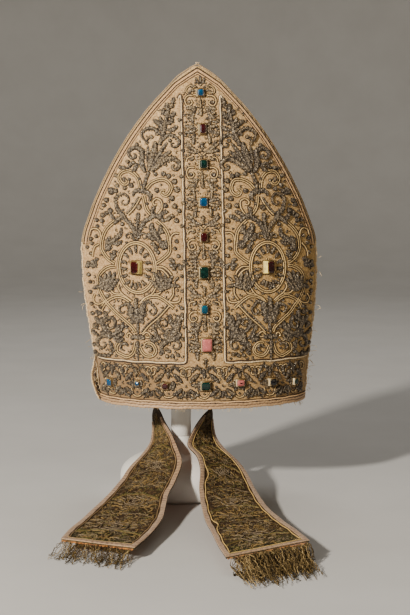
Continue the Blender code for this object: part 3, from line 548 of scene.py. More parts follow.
    ("leaf", 6.7, (-82.0, 103.0), (-81.5, 113.3), (-81.6, 123.8)),
    ("leaf", 5.3, (-82.9, 111.5), (-86.0, 106.5), (-88.1, 101.5)),
    ("leaf", 5.3, (-80.3, 111.7), (-76.3, 106.9), (-73.8, 102.1)),
    ("stem", 4.3, (-81.4, 107.2), (-80.5, 99.4), (-80.8, 90.3)),
    ("leaf", 4.8, (-81.1, 83.9), (-86.4, 86.1), (-89.1, 82.4)),
    ("leaf", 4.8, (-81.1, 83.9), (-75.7, 86.6), (-73.4, 82.8)),
    ("club", 5.5, (-81.3, 56.2), (-81.2, 66.1), (-81.4, 76.7), (-81.6, 81.6)),
    ("curl", 5.0, (-123.1, 100.6), (-116.8, 105.9), (-111.4, 107.8), (-107.9, 103.0), (-109.9, 96.6), (-115.3, 94.4), (-117.7, 98.9), (-113.5, 103.1)),
    ("leaf", 6.0, (-112.2, 83.1), (-118.5, 90.0), (-123.0, 97.3), (-124.9, 108.0)),
    ("leaf", 5.3, (-121.7, 97.2), (-128.1, 101.3), (-133.0, 107.5)),
    ("leaf", 4.8, (-122.0, 104.7), (-119.0, 110.5), (-121.6, 115.5)),
    ("leaf", 5.8, (-113.9, 85.0), (-107.0, 89.6), (-99.9, 96.6), (-99.2, 103.6)),
    ("leaf", 4.8, (-106.3, 89.9), (-105.4, 96.2), (-102.5, 100.1)),
    ("leaf", 5.3, (-111.7, 82.9), (-104.7, 84.8), (-97.2, 90.1)),
    ("leaf", 5.0, (-110.0, 81.9), (-103.9, 79.2), (-97.4, 83.4)),
    ("leaf", 5.5, (-113.7, 81.7), (-118.6, 86.2), (-127.1, 89.0)),
    ("curl", 5.0, (-114.5, 81.2), (-119.2, 83.9), (-126.8, 82.7), (-131.1, 76.1), (-129.3, 69.7), (-123.2, 69.4), (-120.2, 74.4), (-124.7, 76.1)),
    ("leaf", 4.3, (-116.8, 78.6), (-113.5, 73.7), (-114.7, 67.5)),
    ("leaf", 4.1, (-129.0, 84.6), (-134.9, 86.4), (-137.0, 91.4)),
    ("leaf", 10.3, (-55.5, 75.3), (-47.1, 82.2), (-38.2, 91.6), (-33.1, 101.9), (-31.6, 114.3)),
    ("leaf", 5.5, (-41.9, 86.4), (-33.7, 87.0), (-28.3, 92.7)),
    ("leaf", 5.3, (-46.9, 82.7), (-47.4, 90.7), (-42.8, 97.9)),
    ("leaf", 5.3, (-35.6, 98.7), (-41.2, 105.4), (-41.4, 115.4)),
    ("leaf", 4.8, (-31.6, 104.8), (-27.3, 110.7), (-27.6, 117.5)),
    ("curl", 4.6, (-46.6, 90.5), (-53.2, 97.6), (-56.6, 104.1), (-53.5, 108.0), (-47.9, 108.7), (-45.6, 102.5), (-49.7, 99.9), (-51.3, 104.0)),
    ("leaf", 5.0, (-51.6, 83.8), (-58.3, 87.5), (-60.0, 94.3)),
    ("leaf", 4.8, (-54.2, 86.1), (-61.5, 82.7), (-67.0, 84.7)),
    ("leaf", 4.3, (-57.2, 92.4), (-61.9, 97.2), (-60.7, 102.8)),
    ("curl", 4.6, (-45.2, 81.7), (-38.2, 83.8), (-32.4, 82.2), (-29.9, 76.8), (-34.4, 72.4), (-39.4, 74.5), (-37.1, 78.9)),
    ("leaf", 4.1, (-50.4, 76.0), (-53.4, 71.0), (-49.7, 66.7)),
    ("leaf", 5.0, (-137.6, 173.0), (-133.1, 170.3), (-127.9, 173.9)),
    ("leaf", 4.3, (-142.4, 167.9), (-138.4, 172.2), (-140.3, 176.5)),
    ("leaf", 4.3, (-132.0, 172.4), (-130.3, 177.9), (-125.7, 179.9)),
    ("leaf", 5.0, (-29.9, 175.2), (-36.0, 173.0), (-41.1, 176.3)),
    ("leaf", 4.3, (-34.4, 175.6), (-36.9, 180.4), (-41.7, 181.3)),
    ("leaf", 4.3, (-30.4, 175.9), (-25.7, 172.3), (-20.8, 175.4)),
    ("leaf", 4.3, (-80.5, 188.5), (-80.4, 193.1), (-80.2, 198.4)),
    ("leaf", 4.1, (-84.5, 187.2), (-86.8, 190.5), (-89.4, 194.8)),
    ("leaf", 4.1, (-76.3, 187.4), (-73.8, 190.8), (-70.8, 194.9)),
    ("leaf", 4.1, (-89.5, 182.2), (-92.6, 185.8), (-95.7, 186.9)),
    ("leaf", 4.1, (-71.4, 182.6), (-68.4, 186.3), (-65.3, 187.3)),
    ("leaf", 3.8, (-91.2, 175.9), (-95.2, 177.5), (-99.2, 176.4)),
    ("leaf", 3.8, (-70.2, 175.6), (-66.3, 177.2), (-62.2, 176.3)),
    ("leaf", 3.8, (-91.1, 169.6), (-95.5, 168.5), (-99.6, 170.5)),
    ("leaf", 3.8, (-70.1, 169.8), (-66.1, 168.0), (-61.9, 169.8)),
    ("leaf", 4.1, (-91.1, 162.5), (-95.3, 159.7), (-99.2, 160.3)),
    ("leaf", 4.1, (-71.0, 162.6), (-67.3, 159.7), (-63.4, 160.8)),
    ("leaf", 4.1, (-88.4, 155.5), (-90.7, 152.1), (-95.1, 149.9)),
    ("leaf", 4.1, (-74.4, 155.7), (-72.3, 152.1), (-68.3, 150.8)),
    ("leaf", 4.3, (-81.6, 152.6), (-81.7, 148.0), (-81.7, 143.3)),
    ("leaf", 3.4, (-85.2, 153.2), (-86.4, 148.5), (-88.5, 145.6)),
    ("leaf", 3.4, (-77.8, 153.4), (-76.7, 148.8), (-74.9, 146.0)),
)
FIELD_BERRIES = (
    (-91.9, 277.6, 2.5), (-110.0, 239.5, 3.0), (-114.5, 236.2, 2.5), (-119.1, 232.9, 2.8), (-126.5, 227.2, 2.3),
    (-120.4, 226.3, 2.5), (-115.2, 251.4, 2.8), (-117.6, 246.0, 2.5), (-108.2, 262.4, 4.1), (-102.1, 262.9, 2.5),
    (-100.4, 269.5, 2.5), (-91.8, 266.2, 2.5), (-83.6, 268.9, 2.8), (-101.6, 281.9, 2.3), (-91.5, 290.6, 2.5),
    (-53.1, 263.7, 2.8), (-44.5, 284.0, 2.8), (-38.7, 281.3, 2.8), (-31.5, 275.4, 3.0), (-28.6, 264.8, 3.4),
    (-35.3, 254.0, 3.0), (-32.4, 245.5, 3.0), (-43.1, 245.5, 2.8), (-27.2, 239.2, 2.5), (-30.8, 227.4, 2.8),
    (-34.8, 232.7, 2.3), (-113.5, 193.6, 3.9), (-106.4, 188.4, 2.5), (-47.7, 198.4, 4.6), (-56.6, 193.1, 2.5),
    (-54.0, 189.1, 2.3), (-140.9, 169.9, 2.3), (-133.7, 175.5, 2.3), (-21.9, 178.3, 2.5), (-35.3, 170.4, 2.5),
    (-28.2, 170.5, 2.5), (-75.1, 243.8, 3.2), (-133.1, 95.9, 3.4), (-127.1, 58.6, 2.3), (-123.2, 59.4, 2.3),
    (-117.8, 60.2, 2.3), (-113.5, 63.6, 2.3), (-111.3, 67.7, 2.3), (-114.4, 63.3, 2.1), (-126.1, 112.8, 2.5),
    (-130.0, 113.9, 2.3), (-53.7, 66.6, 2.3), (-47.0, 72.4, 2.3), (-44.3, 69.6, 2.3), (-46.4, 63.7, 2.3),
    (-39.9, 64.1, 2.3), (-33.5, 65.2, 2.3), (-134.6, 61.4, 2.5), (-131.0, 58.4, 2.3), (-58.3, 99.9, 2.5),
    (-64.5, 87.8, 2.3), (-94.3, 97.2, 2.1), (-60.3, 199.7, 2.1), (-47.7, 214.5, 2.3), (-109.3, 180.6, 2.1),
    (-117.0, 134.3, 2.1), (-52.1, 143.6, 2.1), (-133.7, 198.0, 2.1), (-127.8, 207.2, 2.1), (-31.0, 203.3, 2.3),
    (-32.9, 194.1, 2.1), (-29.6, 185.2, 2.3), (-23.8, 221.8, 2.3), (-21.8, 248.8, 2.3), (-23.0, 280.4, 2.3),
    (-20.3, 311.7, 2.3), (-54.0, 283.0, 2.3), (-73.5, 278.2, 1.8), (-59.5, 258.0, 1.8), (-95.9, 291.3, 2.3),
    (-74.7, 319.0, 2.3), (-57.8, 328.3, 2.3), (-51.2, 331.6, 2.1), (-35.2, 323.5, 2.1), (-32.1, 365.2, 2.8),
    (-22.5, 347.7, 2.3), (-22.7, 332.1, 2.3), (-62.6, 320.8, 2.1), (-87.2, 298.6, 2.3), (-79.7, 297.1, 2.1),
    (-71.1, 270.8, 1.6), (-85.9, 276.3, 1.8), (-59.9, 223.0, 2.3), (-95.5, 223.1, 2.3), (-125.9, 219.9, 2.1),
    (-80.9, 85.6, 3.4), (-126.2, 120.1, 2.1), (-27.3, 122.1, 2.3), (-26.0, 142.6, 2.1), (-26.0, 161.2, 2.1),
    (-139.9, 159.4, 2.3), (-137.8, 150.8, 2.1), (-138.1, 138.2, 2.3), (-136.6, 123.0, 2.1), (-136.3, 110.6, 2.3),
    (-136.0, 71.8, 2.3), (-25.2, 99.3, 2.3), (-26.8, 84.9, 2.3), (-135.6, 186.0, 2.1), (-140.0, 194.0, 2.1),
    (-135.2, 204.1, 2.3), (-65.8, 248.2, 1.8), (-81.5, 246.9, 1.8),
)


# ------------------------------------------------------------------ materials
class Mat:
    """A node material built step by step."""

    def __init__(self, name, rough=0.7, metal=0.0, **sockets):
        self.mat = bpy.data.materials.new(name)
        self.mat.use_nodes = True
        self.t = self.mat.node_tree
        self.bsdf = self.t.nodes["Principled BSDF"]
        self.bsdf.inputs["Roughness"].default_value = rough
        self.bsdf.inputs["Metallic"].default_value = metal
        for k, v in sockets.items():
            self.bsdf.inputs[k.replace("_", " ")].default_value = v
        self.coords = self.t.nodes.new("ShaderNodeTexCoord")

    def put(self, socket, value):
        if isinstance(value, bpy.types.NodeSocket):
            self.t.links.new(value, socket)
        elif isinstance(value, (tuple, list)) and len(value) == 3 and socket.type == "RGBA":
            socket.default_value = (*value, 1.0)
        else:
            socket.default_value = value

    def stretch(self, scale, uv=False, turn=(0, 0, 0)):
        n = self.t.nodes.new("ShaderNodeMapping")
        n.inputs["Scale"].default_value = scale
        n.inputs["Rotation"].default_value = turn
        self.t.links.new(self.coords.outputs["UV" if uv else "Object"], n.inputs["Vector"])
        return n.outputs["Vector"]

    def noise(self, scale, detail=3.0, rough=0.6, vector=None, distort=0.0):
        n = self.t.nodes.new("ShaderNodeTexNoise")
        n.inputs["Scale"].default_value = scale
        n.inputs["Detail"].default_value = detail
        n.inputs["Roughness"].default_value = rough
        n.inputs["Distortion"].default_value = distort
        self.t.links.new(vector or self.coords.outputs["Object"], n.inputs["Vector"])
        return n.outputs["Fac"]

    def cells(self, scale, vector=None, feature="F1"):
        n = self.t.nodes.new("ShaderNodeTexVoronoi")
        n.feature = feature
        n.inputs["Scale"].default_value = scale
        self.t.links.new(vector or self.coords.outputs["Object"], n.inputs["Vector"])
        return n.outputs["Distance"]

    def wave(self, scale, vector=None, distort=0.0, axis="X", detail=1.0):
        n = self.t.nodes.new("ShaderNodeTexWave")
        n.bands_direction = axis
        n.inputs["Scale"].default_value = scale
        n.inputs["Distortion"].default_value = distort
        n.inputs["Detail"].default_value = detail
        self.t.links.new(vector or self.coords.outputs["Object"], n.inputs["Vector"])
        return n.outputs["Fac"]

    def att(self, name):
        n = self.t.nodes.new("ShaderNodeAttribute")
        n.attribute_name = name
        return n.outputs["Fac"]

    def split(self, axis, uv=False):
        n = self.t.nodes.new("ShaderNodeSeparateXYZ")
        self.t.links.new(self.coords.outputs["UV" if uv else "Object"], n.inputs[0])
        return n.outputs[axis]

    def math(self, op, a, b=0.0, c=0.0, clamp=False):
        n = self.t.nodes.new("ShaderNodeMath")
        n.operation = op
        n.use_clamp = clamp
        for k, v in enumerate((a, b, c)):
            self.put(n.inputs[k], v)
        return n.outputs[0]

    def fit(self, value, a, b, c=0.0, d=1.0):
        n = self.t.nodes.new("ShaderNodeMapRange")
        self.put(n.inputs["Value"], value)
        for k, v in (("From Min", a), ("From Max", b), ("To Min", c), ("To Max", d)):
            n.inputs[k].default_value = v
        return n.outputs["Result"]

    def ramp(self, fac, *stops):
        n = self.t.nodes.new("ShaderNodeValToRGB")
        r = n.color_ramp
        while len(r.elements) < len(stops):
            r.elements.new(0.5)
        for e, (p, c) in zip(r.elements, stops):
            e.position = p
            e.color = (*c, 1.0)
        self.t.links.new(fac, n.inputs["Fac"])
        return n.outputs["Color"]

    def mix(self, fac, a, b, kind="MIX"):
        n = self.t.nodes.new("ShaderNodeMix")
        n.data_type = "RGBA"
        n.blend_type = kind
        self.put(n.inputs[0], fac)
        self.put(n.inputs[6], a)
        self.put(n.inputs[7], b)
        return n.outputs[2]

    def bump(self, height, strength, distance, normal=None):
        n = self.t.nodes.new("ShaderNodeBump")
        n.inputs["Strength"].default_value = strength
        n.inputs["Distance"].default_value = distance
        self.t.links.new(height, n.inputs["Height"])
        if normal is not None:
            self.t.links.new(normal, n.inputs["Normal"])
        return n.outputs["Normal"]

    def done(self, color, normal=None, rough=None, metal=None):
        self.put(self.bsdf.inputs["Base Color"], color)
        if normal is not None:
            self.t.links.new(normal, self.bsdf.inputs["Normal"])
        if rough is not None:
            self.t.links.new(rough, self.bsdf.inputs["Roughness"])
        if metal is not None:
            self.t.links.new(metal, self.bsdf.inputs["Metallic"])
        return self.mat


def silk_material():
    m = Mat("worn_silk", 0.82, Sheen_Weight=0.12, Sheen_Roughness=0.4, Specular_IOR_Level=0.3)
    big = m.noise(9, 3)
    mid = m.noise(110, 4, 0.65)
    fine = m.noise(430, 3, 0.72)
    grain = m.noise(1300, 2, 0.6, m.stretch((1, 1, 0.35)))
    base = m.ramp(big, (0.30, (0.56, 0.345, 0.155)), (0.52, (0.68, 0.435, 0.205)), (0.72, (0.56, 0.330, 0.130)))
    # painted shade: darker and more golden towards the viewer's right, where the key light falls off
    base = m.mix(m.fit(m.split("X"), -0.02, 0.15, 0.0, 0.75), base, (0.52, 0.315, 0.075))
    # painted light: paler going up the horns above the cleft
    base = m.mix(m.fit(m.split("Z"), 0.31, 0.43, 0.0, 0.45), base, (0.84, 0.57, 0.29))
    base = m.mix(m.fit(mid, 0.42, 0.72, 0, 0.60), base, (0.40, 0.225, 0.090))
    base = m.mix(m.fit(fine, 0.30, 0.47, 0.80, 0.0), base, (0.88, 0.64, 0.35))
    base = m.mix(m.fit(fine, 0.51, 0.65, 0, 0.80), base, (0.23, 0.120, 0.040))
    # painted shade: darker in patches over the band along the rim
    low = m.fit(m.split("Z"), 0.130, 0.185, 0.75, 0.0)
    base = m.mix(m.math("MULTIPLY", low, m.fit(mid, 0.35, 0.6)), base, (0.40, 0.26, 0.13))
    # painted shade: darker at both ends of the band round the rim, most on the left
    ends = m.math("ADD", m.fit(m.split("X"), -0.055, 0.010, 0.85, 0.0), m.fit(m.split("X"), 0.060, 0.125, 0.0, 0.50))
    ends = m.math("MULTIPLY", ends, m.fit(m.split("Z"), 0.172, 0.186, 1.0, 0.0))
    base = m.mix(ends, base, (0.27, 0.160, 0.070))
    weave = m.math("ADD", m.wave(620, distort=1.2, axis="X"), m.wave(620, distort=1.2, axis="Z"))
    height = m.math("ADD", m.math("MULTIPLY", weave, 0.4), m.math("ADD", fine, grain))
    n = m.bump(height, 0.75, 0.0006, m.bump(mid, 0.5, 0.0014))
    return m.done(base, n, m.fit(fine, 0.3, 0.7, 0.72, 0.9))


def lining_material():
    m = Mat("lining_silk", 0.62, Sheen_Weight=0.25, Sheen_Roughness=0.35)
    mid = m.noise(60, 4)
    fine = m.noise(900, 2)
    base = m.ramp(mid, (0.3, (0.30, 0.105, 0.035)), (0.7, (0.46, 0.185, 0.07)))
    base = m.mix(m.fit(fine, 0.4, 0.7, 0, 0.4), base, (0.20, 0.065, 0.025))
    height = m.math("ADD", m.wave(700, distort=0.8, axis="X"), m.wave(700, distort=0.8, axis="Z"))
    return m.done(base, m.bump(height, 0.4, 0.0004, m.bump(mid, 0.4, 0.002)))


def silver_material(name="silver_thread", cool_k=1.0, warm_k=1.0):
    """Tarnished silver thread over padding."""
    m = Mat(name, 0.5, Specular_IOR_Level=0.6)
    tone, crest = m.att("tone"), m.att("crest")
    fine = m.noise(410, 3, 0.74)
    mid = m.noise(140, 3)
    # by crest: near black at each motif's foot, pale on its top; tarnish in the hollows, with painted shade at the foot
    # and a painted highlight on the top
    cool = m.ramp(crest, (0.0, (0.012, 0.007, 0.003)), (0.45, tuple(c * cool_k for c in (0.050, 0.034, 0.020))),
                  (0.84, tuple(c * cool_k for c in (0.165, 0.125, 0.082))), (1.0, tuple(c * cool_k for c in (0.34, 0.265, 0.175))))
    warm = m.ramp(crest, (0.0, (0.022, 0.011, 0.004)), (0.45, tuple(c * warm_k for c in (0.090, 0.053, 0.021))),
                  (0.85, tuple(c * warm_k for c in (0.32, 0.212, 0.098))), (1.0, tuple(c * warm_k for c in (0.52, 0.37, 0.19))))
    base = m.mix(m.fit(tone, 0.45, 1.0, 0.0, 0.9), cool, warm)
    purl = m.cells(400)
    base = m.mix(m.fit(purl, 0.38, 0.64, 0.0, 0.85), base, (0.022, 0.013, 0.007))
    base = m.mix(m.fit(fine, 0.52, 0.66, 0, 0.75), base, (0.034, 0.021, 0.011))
    base = m.mix(m.fit(fine, 0.33, 0.43, 0.85, 0.0), base, (0.60, 0.50, 0.35))
    base = m.mix(m.fit(mid, 0.5, 0.75, 0, 0.4), base, (0.075, 0.050, 0.028))
    thread = m.wave(330, m.stretch((1, 1, 1), uv=True, turn=(0, 0, 0.7)), distort=0.6, axis="X")
    knots = m.math("SUBTRACT", 1.0, purl)
    n = m.bump(thread, 0.4, 0.0005, m.bump(knots, 1.0, 0.0020, m.bump(fine, 0.7, 0.0008)))
    return m.done(base, n, m.fit(fine, 0.3, 0.7, 0.34, 0.58), m.fit(fine, 0.3, 0.6, 0.45, 0.10))


def gold_cord_material(name="gold_cord_thread", tint=(0.70, 0.50, 0.24), deep=(0.060, 0.030, 0.011), metal=0.25):
    m = Mat(name, 0.5, metal, Specular_IOR_Level=0.6)
    tone, crest = m.att("tone"), m.att("crest")
    fine = m.noise(800, 3, 0.6)
    mid = m.noise(90, 3)
    pale = tuple(min(0.95, c * 1.22) for c in tint)
    # painted shade and highlight by crest: dark where a cord meets the cloth, pale on its top
    base = m.ramp(crest, (0.22, deep), (0.52, tint), (0.88, pale))
    base = m.mix(m.fit(mid, 0.50, 0.78, 0, 0.45), base, tuple(c * 0.60 for c in tint))
    base = m.mix(m.fit(fine, 0.54, 0.74, 0, 0.5), base, deep)
    base = m.mix(m.fit(tone, 0.2, 1.0, 0.35, 0.0), base, tuple(c * 0.62 for c in tint))
    twist = m.wave(330, m.stretch((1, 1, 1), uv=True, turn=(0, 0, 0.6)), axis="X")
    n = m.bump(twist, 0.5, 0.0004, m.bump(fine, 0.6, 0.0005))
    return m.done(base, n, m.fit(fine, 0.3, 0.7, 0.38, 0.6))


SILK, LINING, SILVER = silk_material(), lining_material(), silver_material()
BRONZE = silver_material("bronze_thread", 1.25, 1.25)
GOLD = gold_cord_material("gold_cord_thread", (0.62, 0.425, 0.185), (0.050, 0.024, 0.009), 0.12)
EDGE = gold_cord_material("edge_cord_thread", (0.44, 0.30, 0.155), (0.085, 0.045, 0.018), 0.1)
TAPE = gold_cord_material("peach_tape", (0.68, 0.43, 0.21), (0.17, 0.085, 0.035), 0.0)
PALE = gold_cord_material("pale_cord_thread", (0.70, 0.53, 0.31), (0.12, 0.062, 0.026), 0.05)
GALLOON = gold_cord_material("rim_galloon_thread", (0.46, 0.285, 0.145), (0.10, 0.050, 0.022), 0.05)
RED_LINE = gold_cord_material("dark_red_silk", (0.075, 0.018, 0.010), (0.025, 0.006, 0.004), 0.0)
DARK_LINE = gold_cord_material("dark_brown_silk", (0.060, 0.030, 0.012), (0.014, 0.007, 0.003), 0.0)
PURL = gold_cord_material("tarnished_purl", (0.16, 0.095, 0.035), (0.020, 0.010, 0.004), 0.45)


# ------------------------------------------------------------- stiff panels
def panel(name, side):
    """One horn: embroidered silk outside, lining inside, closed round its rim."""
    hs = np.unique(np.r_[np.linspace(0, CLEFT_H, 34), np.linspace(CLEFT_H, 0.405, 50), 0.409, 0.4125])
    cols = 65
    s = np.linspace(-1, 1, cols)
    s = np.sin(s * np.pi / 2) * 0.35 + s * 0.65
    w = half_width(hs)
    X = s[None] * w[:, None] * 0.99999
    H = np.broadcast_to(hs[:, None], X.shape)
    P, N = face_frame(X, H, side)
    flat = unit(N * np.array([1, 1, 0]))
    inner = P - flat * PANEL_T
    for c, sg in ((0, -1), (-1, 1)):
        inner[:, c] = P[:, c] - np.array([sg * PANEL_T, 0, 0])
    inner[..., 1] = MITRE_Y + side * np.maximum(side * (inner[..., 1] - MITRE_Y), 0.0006)
    heap = Heap()
    n = P.shape[0] * P.shape[1]
    uv = np.stack([X, H], -1)
    heap.grid(P, uv, mat=0, flip=side > 0)
    heap.grid(inner, uv, mat=1, flip=side < 0)
    r, c = P.shape[:2]
    idx = np.arange(n).reshape(r, c)
    loop = np.concatenate([idx[0], idx[1:, -1], idx[-1, -2::-1], idx[-2:0:-1, 0]])
    nxt = np.roll(loop, -1)
    rim = np.stack([loop, loop + n, nxt + n, nxt], -1)
    if side > 0:
        rim = rim[:, ::-1]
    heap.f += [tuple(int(i) for i in f) for f in rim]
    heap.m += [0] * len(rim)
    return heap.build(name, [SILK, LINING], "silk", (("front" if side < 0 else "back") + "_horn",), sharp=50)


panel("panel_front", -1)
panel("panel_back", 1)


def height_at_width(x):
    lo, hi = np.full(np.shape(x), CLEFT_H), np.full(np.shape(x), HORN_H)
    for _ in range(40):
        mid = (lo + hi) / 2
        wide = half_width(mid) > np.abs(x)
        lo, hi = np.where(wide, mid, lo), np.where(wide, hi, mid)
    return lo


def gusset():
    """The soft fold between the horns, slack and a little creased."""
    wide = float(half_width(CLEFT_H))
    cols, drop = 91, 17
    s = np.linspace(-1, 1, cols) * 0.965
    x = s * wide
    h = height_at_width(x) - 0.004
    fold = CLEFT_H - 0.013 * (1 - s * s) + 0.004
    lean = np.maximum(0, (h - CLEFT_H) / (HORN_H - CLEFT_H)) ** 1.1
    rows = []
    for side in (-1, 1):
        y_edge = np.maximum(0.0006 + TIP_IN * lean - PANEL_T - 0.0012, 0.0002) * side
        v = 1 - np.arange(drop) / (drop - 1)
        if side > 0:
            v = v[::-1][1:]
        vv = v[:, None] ** 1.25
        px = np.broadcast_to(MITRE_X + x * 0.980 + LEAN * h, (len(v), cols))
        pz = RIM_Z + fold + (h - fold) * v[:, None]
        crease = 0.0011 * np.sin(s[None] * 47 + v[:, None] * 2.1 * side) * np.sin(np.pi * v[:, None]) ** 1.2
        crease = crease + 0.0007 * np.sin(s[None] * 19 - v[:, None] * 5) * np.sin(np.pi * v[:, None])
        room = np.clip(np.abs(y_edge) * vv / 0.004, 0, 1)
        py = MITRE_Y + y_edge * vv + side * 0.0006 - side * np.abs(crease) * room
        rows.append(np.stack([px, py, pz], -1))
    top = np.concatenate(rows)
    top[drop - 1, :, 1] = MITRE_Y
    d = unit(np.gradient(top, axis=0))
    under = top + np.stack([0 * d[..., 0], d[..., 2], -d[..., 1]], -1) * 0.0011
    heap = Heap()
    r, c = top.shape[:2]
    n = r * c
    heap.grid(top, mat=0)
    heap.grid(under, mat=0, flip=True)
    idx = np.arange(n).reshape(r, c)
    loop = np.concatenate([idx[0], idx[1:, -1], idx[-1, -2::-1], idx[-2:0:-1, 0]])
    nxt = np.roll(loop, -1)
    heap.f += [tuple(int(i) for i in f) for f in np.stack([loop, loop + n, nxt + n, nxt], -1)]
    heap.m += [0] * len(loop)
    obj = heap.build("gusset_silk", [LINING], "lining", ("gusset",))
    area = sum(p.area for p in obj.data.polygons) / 2
    print("gusset area", area)
    return obj


gusset()


# --------------------------------------------------- cords round the edges
def edge_dir(h, s, side):
    e = 0.001
    h0, h1 = np.maximum(0, h - e), np.minimum(HORN_H, h + e)
    along = unit(face(s * half_width(h1), h1, side, False) - face(s * half_width(h0), h0, side, False))
    w = half_width(h)
    across = unit(face(s * w, h, side, False) - face(s * w * 0.97, h, side, False))
    return unit(across - along * np.sum(across * along, -1, keepdims=True)), along


def strands(heap, line, radius, count, turn, step, tone=0.6, mat=0, rough=0.0, sides=6):
    """A twisted cord of some strands round a middle line."""
    P, s = resample(line, step)
    if rough:
        wob = np.stack([np.interp(s, np.linspace(0, s[-1], 60), rng.normal(0, rough, 60)) for _ in range(3)], -1)
        P = P + wob
    T = unit(np.gradient(P, axis=0))
    up = np.array([0.0, 1.0, 0.0])
    B = unit(np.cross(T, up))
    N = np.cross(B, T)
    for k in range(count):
        a = 2 * np.pi * (s / turn + k / count)
        r = radius * 0.52
        Q = P + (B * np.cos(a)[:, None] + N * np.sin(a)[:, None]) * r
        tube_on(heap, Q, N, radius * 0.56, sides, tone + rng.uniform(-.1, .1), 0.0, mat=mat)
        lit = np.full(heap.crest[-1].shape, 0.9)
        heap.crest[-1] = np.where(rng.random(lit.shape) < 0.12, 0.45, lit)


def free_edge(name, side, node):
    r = 0.0010
    hs = np.linspace(CLEFT_H + 0.004, 0.406, 40)
    halves = []
    for s in (-1, 1):
        out, _ = edge_dir(hs, s, side)
        p = face(s * half_width(hs), hs, side, False) + out * (r + 0.0004) + np.array([0, -side * 0.0008, 0])
        p[:, 1] = MITRE_Y + side * np.maximum(side * (p[:, 1] - MITRE_Y), r + 0.0002)
        crown = face(s * half_width(0.4115) * 0.8, 0.4115, side, False) + np.array([s * 0.0002, -side * 0.0010, r + 0.0004])
        halves.append(np.concatenate([p, crown[None]]))
    tip = face(0, 0.410, side, False) + np.array([0, -side * 0.0010, r + 0.0036])
    line = np.concatenate([halves[0], tip[None], halves[1][::-1]])
    heap = Heap()
    strands(heap, line, r, 2, 0.0052, 0.0014, 0.75, rough=0.00018, mat=1, sides=5)
    # the small tuft at the tip, where the cord's ends are caught
    for k in range(9):
        a = rng.uniform(0, 6.28)
        q = tip + np.array([math.cos(a) * 0.0008, math.sin(a) * 0.0008, 0.0004])
        pts = np.array([q, q + np.array([math.cos(a) * 0.0012, math.sin(a) * 0.001, 0.0012]),
                        q + np.array([math.cos(a + 1) * 0.0022, math.sin(a + 1) * 0.0012, 0.0022])])
        pts, _ = resample(pts, 0.0006)
        tube_on(heap, pts, np.tile([0.0, -1.0, 0.3], (len(pts), 1)), 0.00024, 5, 0.9, 0.0)
        heap.crest[-1] = np.full(heap.crest[-1].shape, 0.9)
    return heap.build(name, [PALE, EDGE], "pale_cord", (node,))


free_edge("edge_cord_twisted_front", -1, "edge_cord_front")
free_edge("edge_cord_twisted_back", 1, "edge_cord_back")


def edge_run(d):
    """The line in the cloth a distance d inside the free edge."""
    hs = np.linspace(CLEFT_H + 0.002, 0.394, 60)
    e = 0.001
    t = unit(np.stack([half_width(hs + e) - half_width(hs - e), np.full(len(hs), 2 * e)], -1))
    x, h = half_width(hs) - t[:, 1] * d, hs + t[:, 0] * d
    keep = x > 0.0025 + 0.5 * d
    x, h = x[keep], h[keep]
    crown = HORN_H - 1.25 * d - 0.001
    xc = x[-1] * np.array([0.72, 0.42, 0.14])
    hc = crown - (crown - h[-1]) * (xc / x[-1]) ** 1.08
    x, h = np.r_[x, xc], np.r_[h, hc]
    return np.concatenate([np.stack([-x, h], -1), [[0.0, crown]], np.stack([x, h], -1)[::-1]])


def braid(name, side, node):
    """Two gold cords on a flat tape, with a line of dark red silk outside."""
    cloth = front if side < 0 else back
    heap = Heap()
    for d, r, mat, tone in ((0.0009, 0.00055, 0, 0.5), (0.0022, 0.00092, 2, 0.4), (0.0036, 0.00062, 3, 0.9), (0.0047, 0.00058, 3, 1.0),
                            (0.0059, 0.00070, 2, 0.3), (0.0071, 0.00050, 3, 0.9), (0.0082, 0.00036, 1, 0.3)):
        P, s = resample(edge_run(d), 0.0017 * (1 if side < 0 else 1.6))
        pt, nn = cloth.place(P[:, 0], P[:, 1])
        wob = 1 + 0.16 * np.sin(s * 700 + d * 9000) * (mat != 3)
        tube_on(heap, pt, nn, r * wob, 6 if mat in (0, 3) else 4, tone, 0.75 if mat in (0, 3) else 0.55, mat=mat,
                twist=0.15 if mat in (0, 3) else 0.0, pitch=0.0042)
    return heap.build(name, [GOLD, RED_LINE, DARK_LINE, TAPE], "gold_cord", (node,))


braid("braid_cords_front", -1, "braid_front")
braid("braid_cords_back", 1, "braid_back")


def piping(name, s, node):
    """Pale piping over the side seam, worn thin and lumpy."""
    hs = np.linspace(0.055 if s < 0 else 0.0085, CLEFT_H + 0.005, 60)
    wob = 0.00040 * np.sin(hs * 310 + s) + 0.0003 * np.sin(hs * 830)
    line = np.stack([MITRE_X + s * (half_width(hs) + 0.0008 + wob) + LEAN * hs, MITRE_Y + 0 * hs, RIM_Z + hs], -1)
    heap = Heap()
    strands(heap, line, 0.00125, 2, 0.0060, 0.0011, 0.95, rough=0.0002)
    # overcast stitches round it
    for h in np.arange(0.058 if s < 0 else 0.018, CLEFT_H - 0.004, 0.0068):
        h = h + rng.uniform(-0.0008, 0.0008)
        a = np.linspace(-1.9, 1.9, 8)
        w = float(half_width(h)) + 0.0005
        r = 0.0018
        pts = np.stack([MITRE_X + s * (w + r * np.cos(a)) + LEAN * h, MITRE_Y + r * 1.1 * np.sin(a),
                        RIM_Z + h + 0.0006 * a], -1)
        tube_on(heap, pts, np.tile([0.0, 0.0, 1.0], (8, 1)), 0.00024, 5, 0.6, 0.0)
    return heap.build(name, [PALE], "pale_cord", (node,))


piping("piping_cord_left", -1, "piping_left")
piping("piping_cord_right", 1, "piping_right")


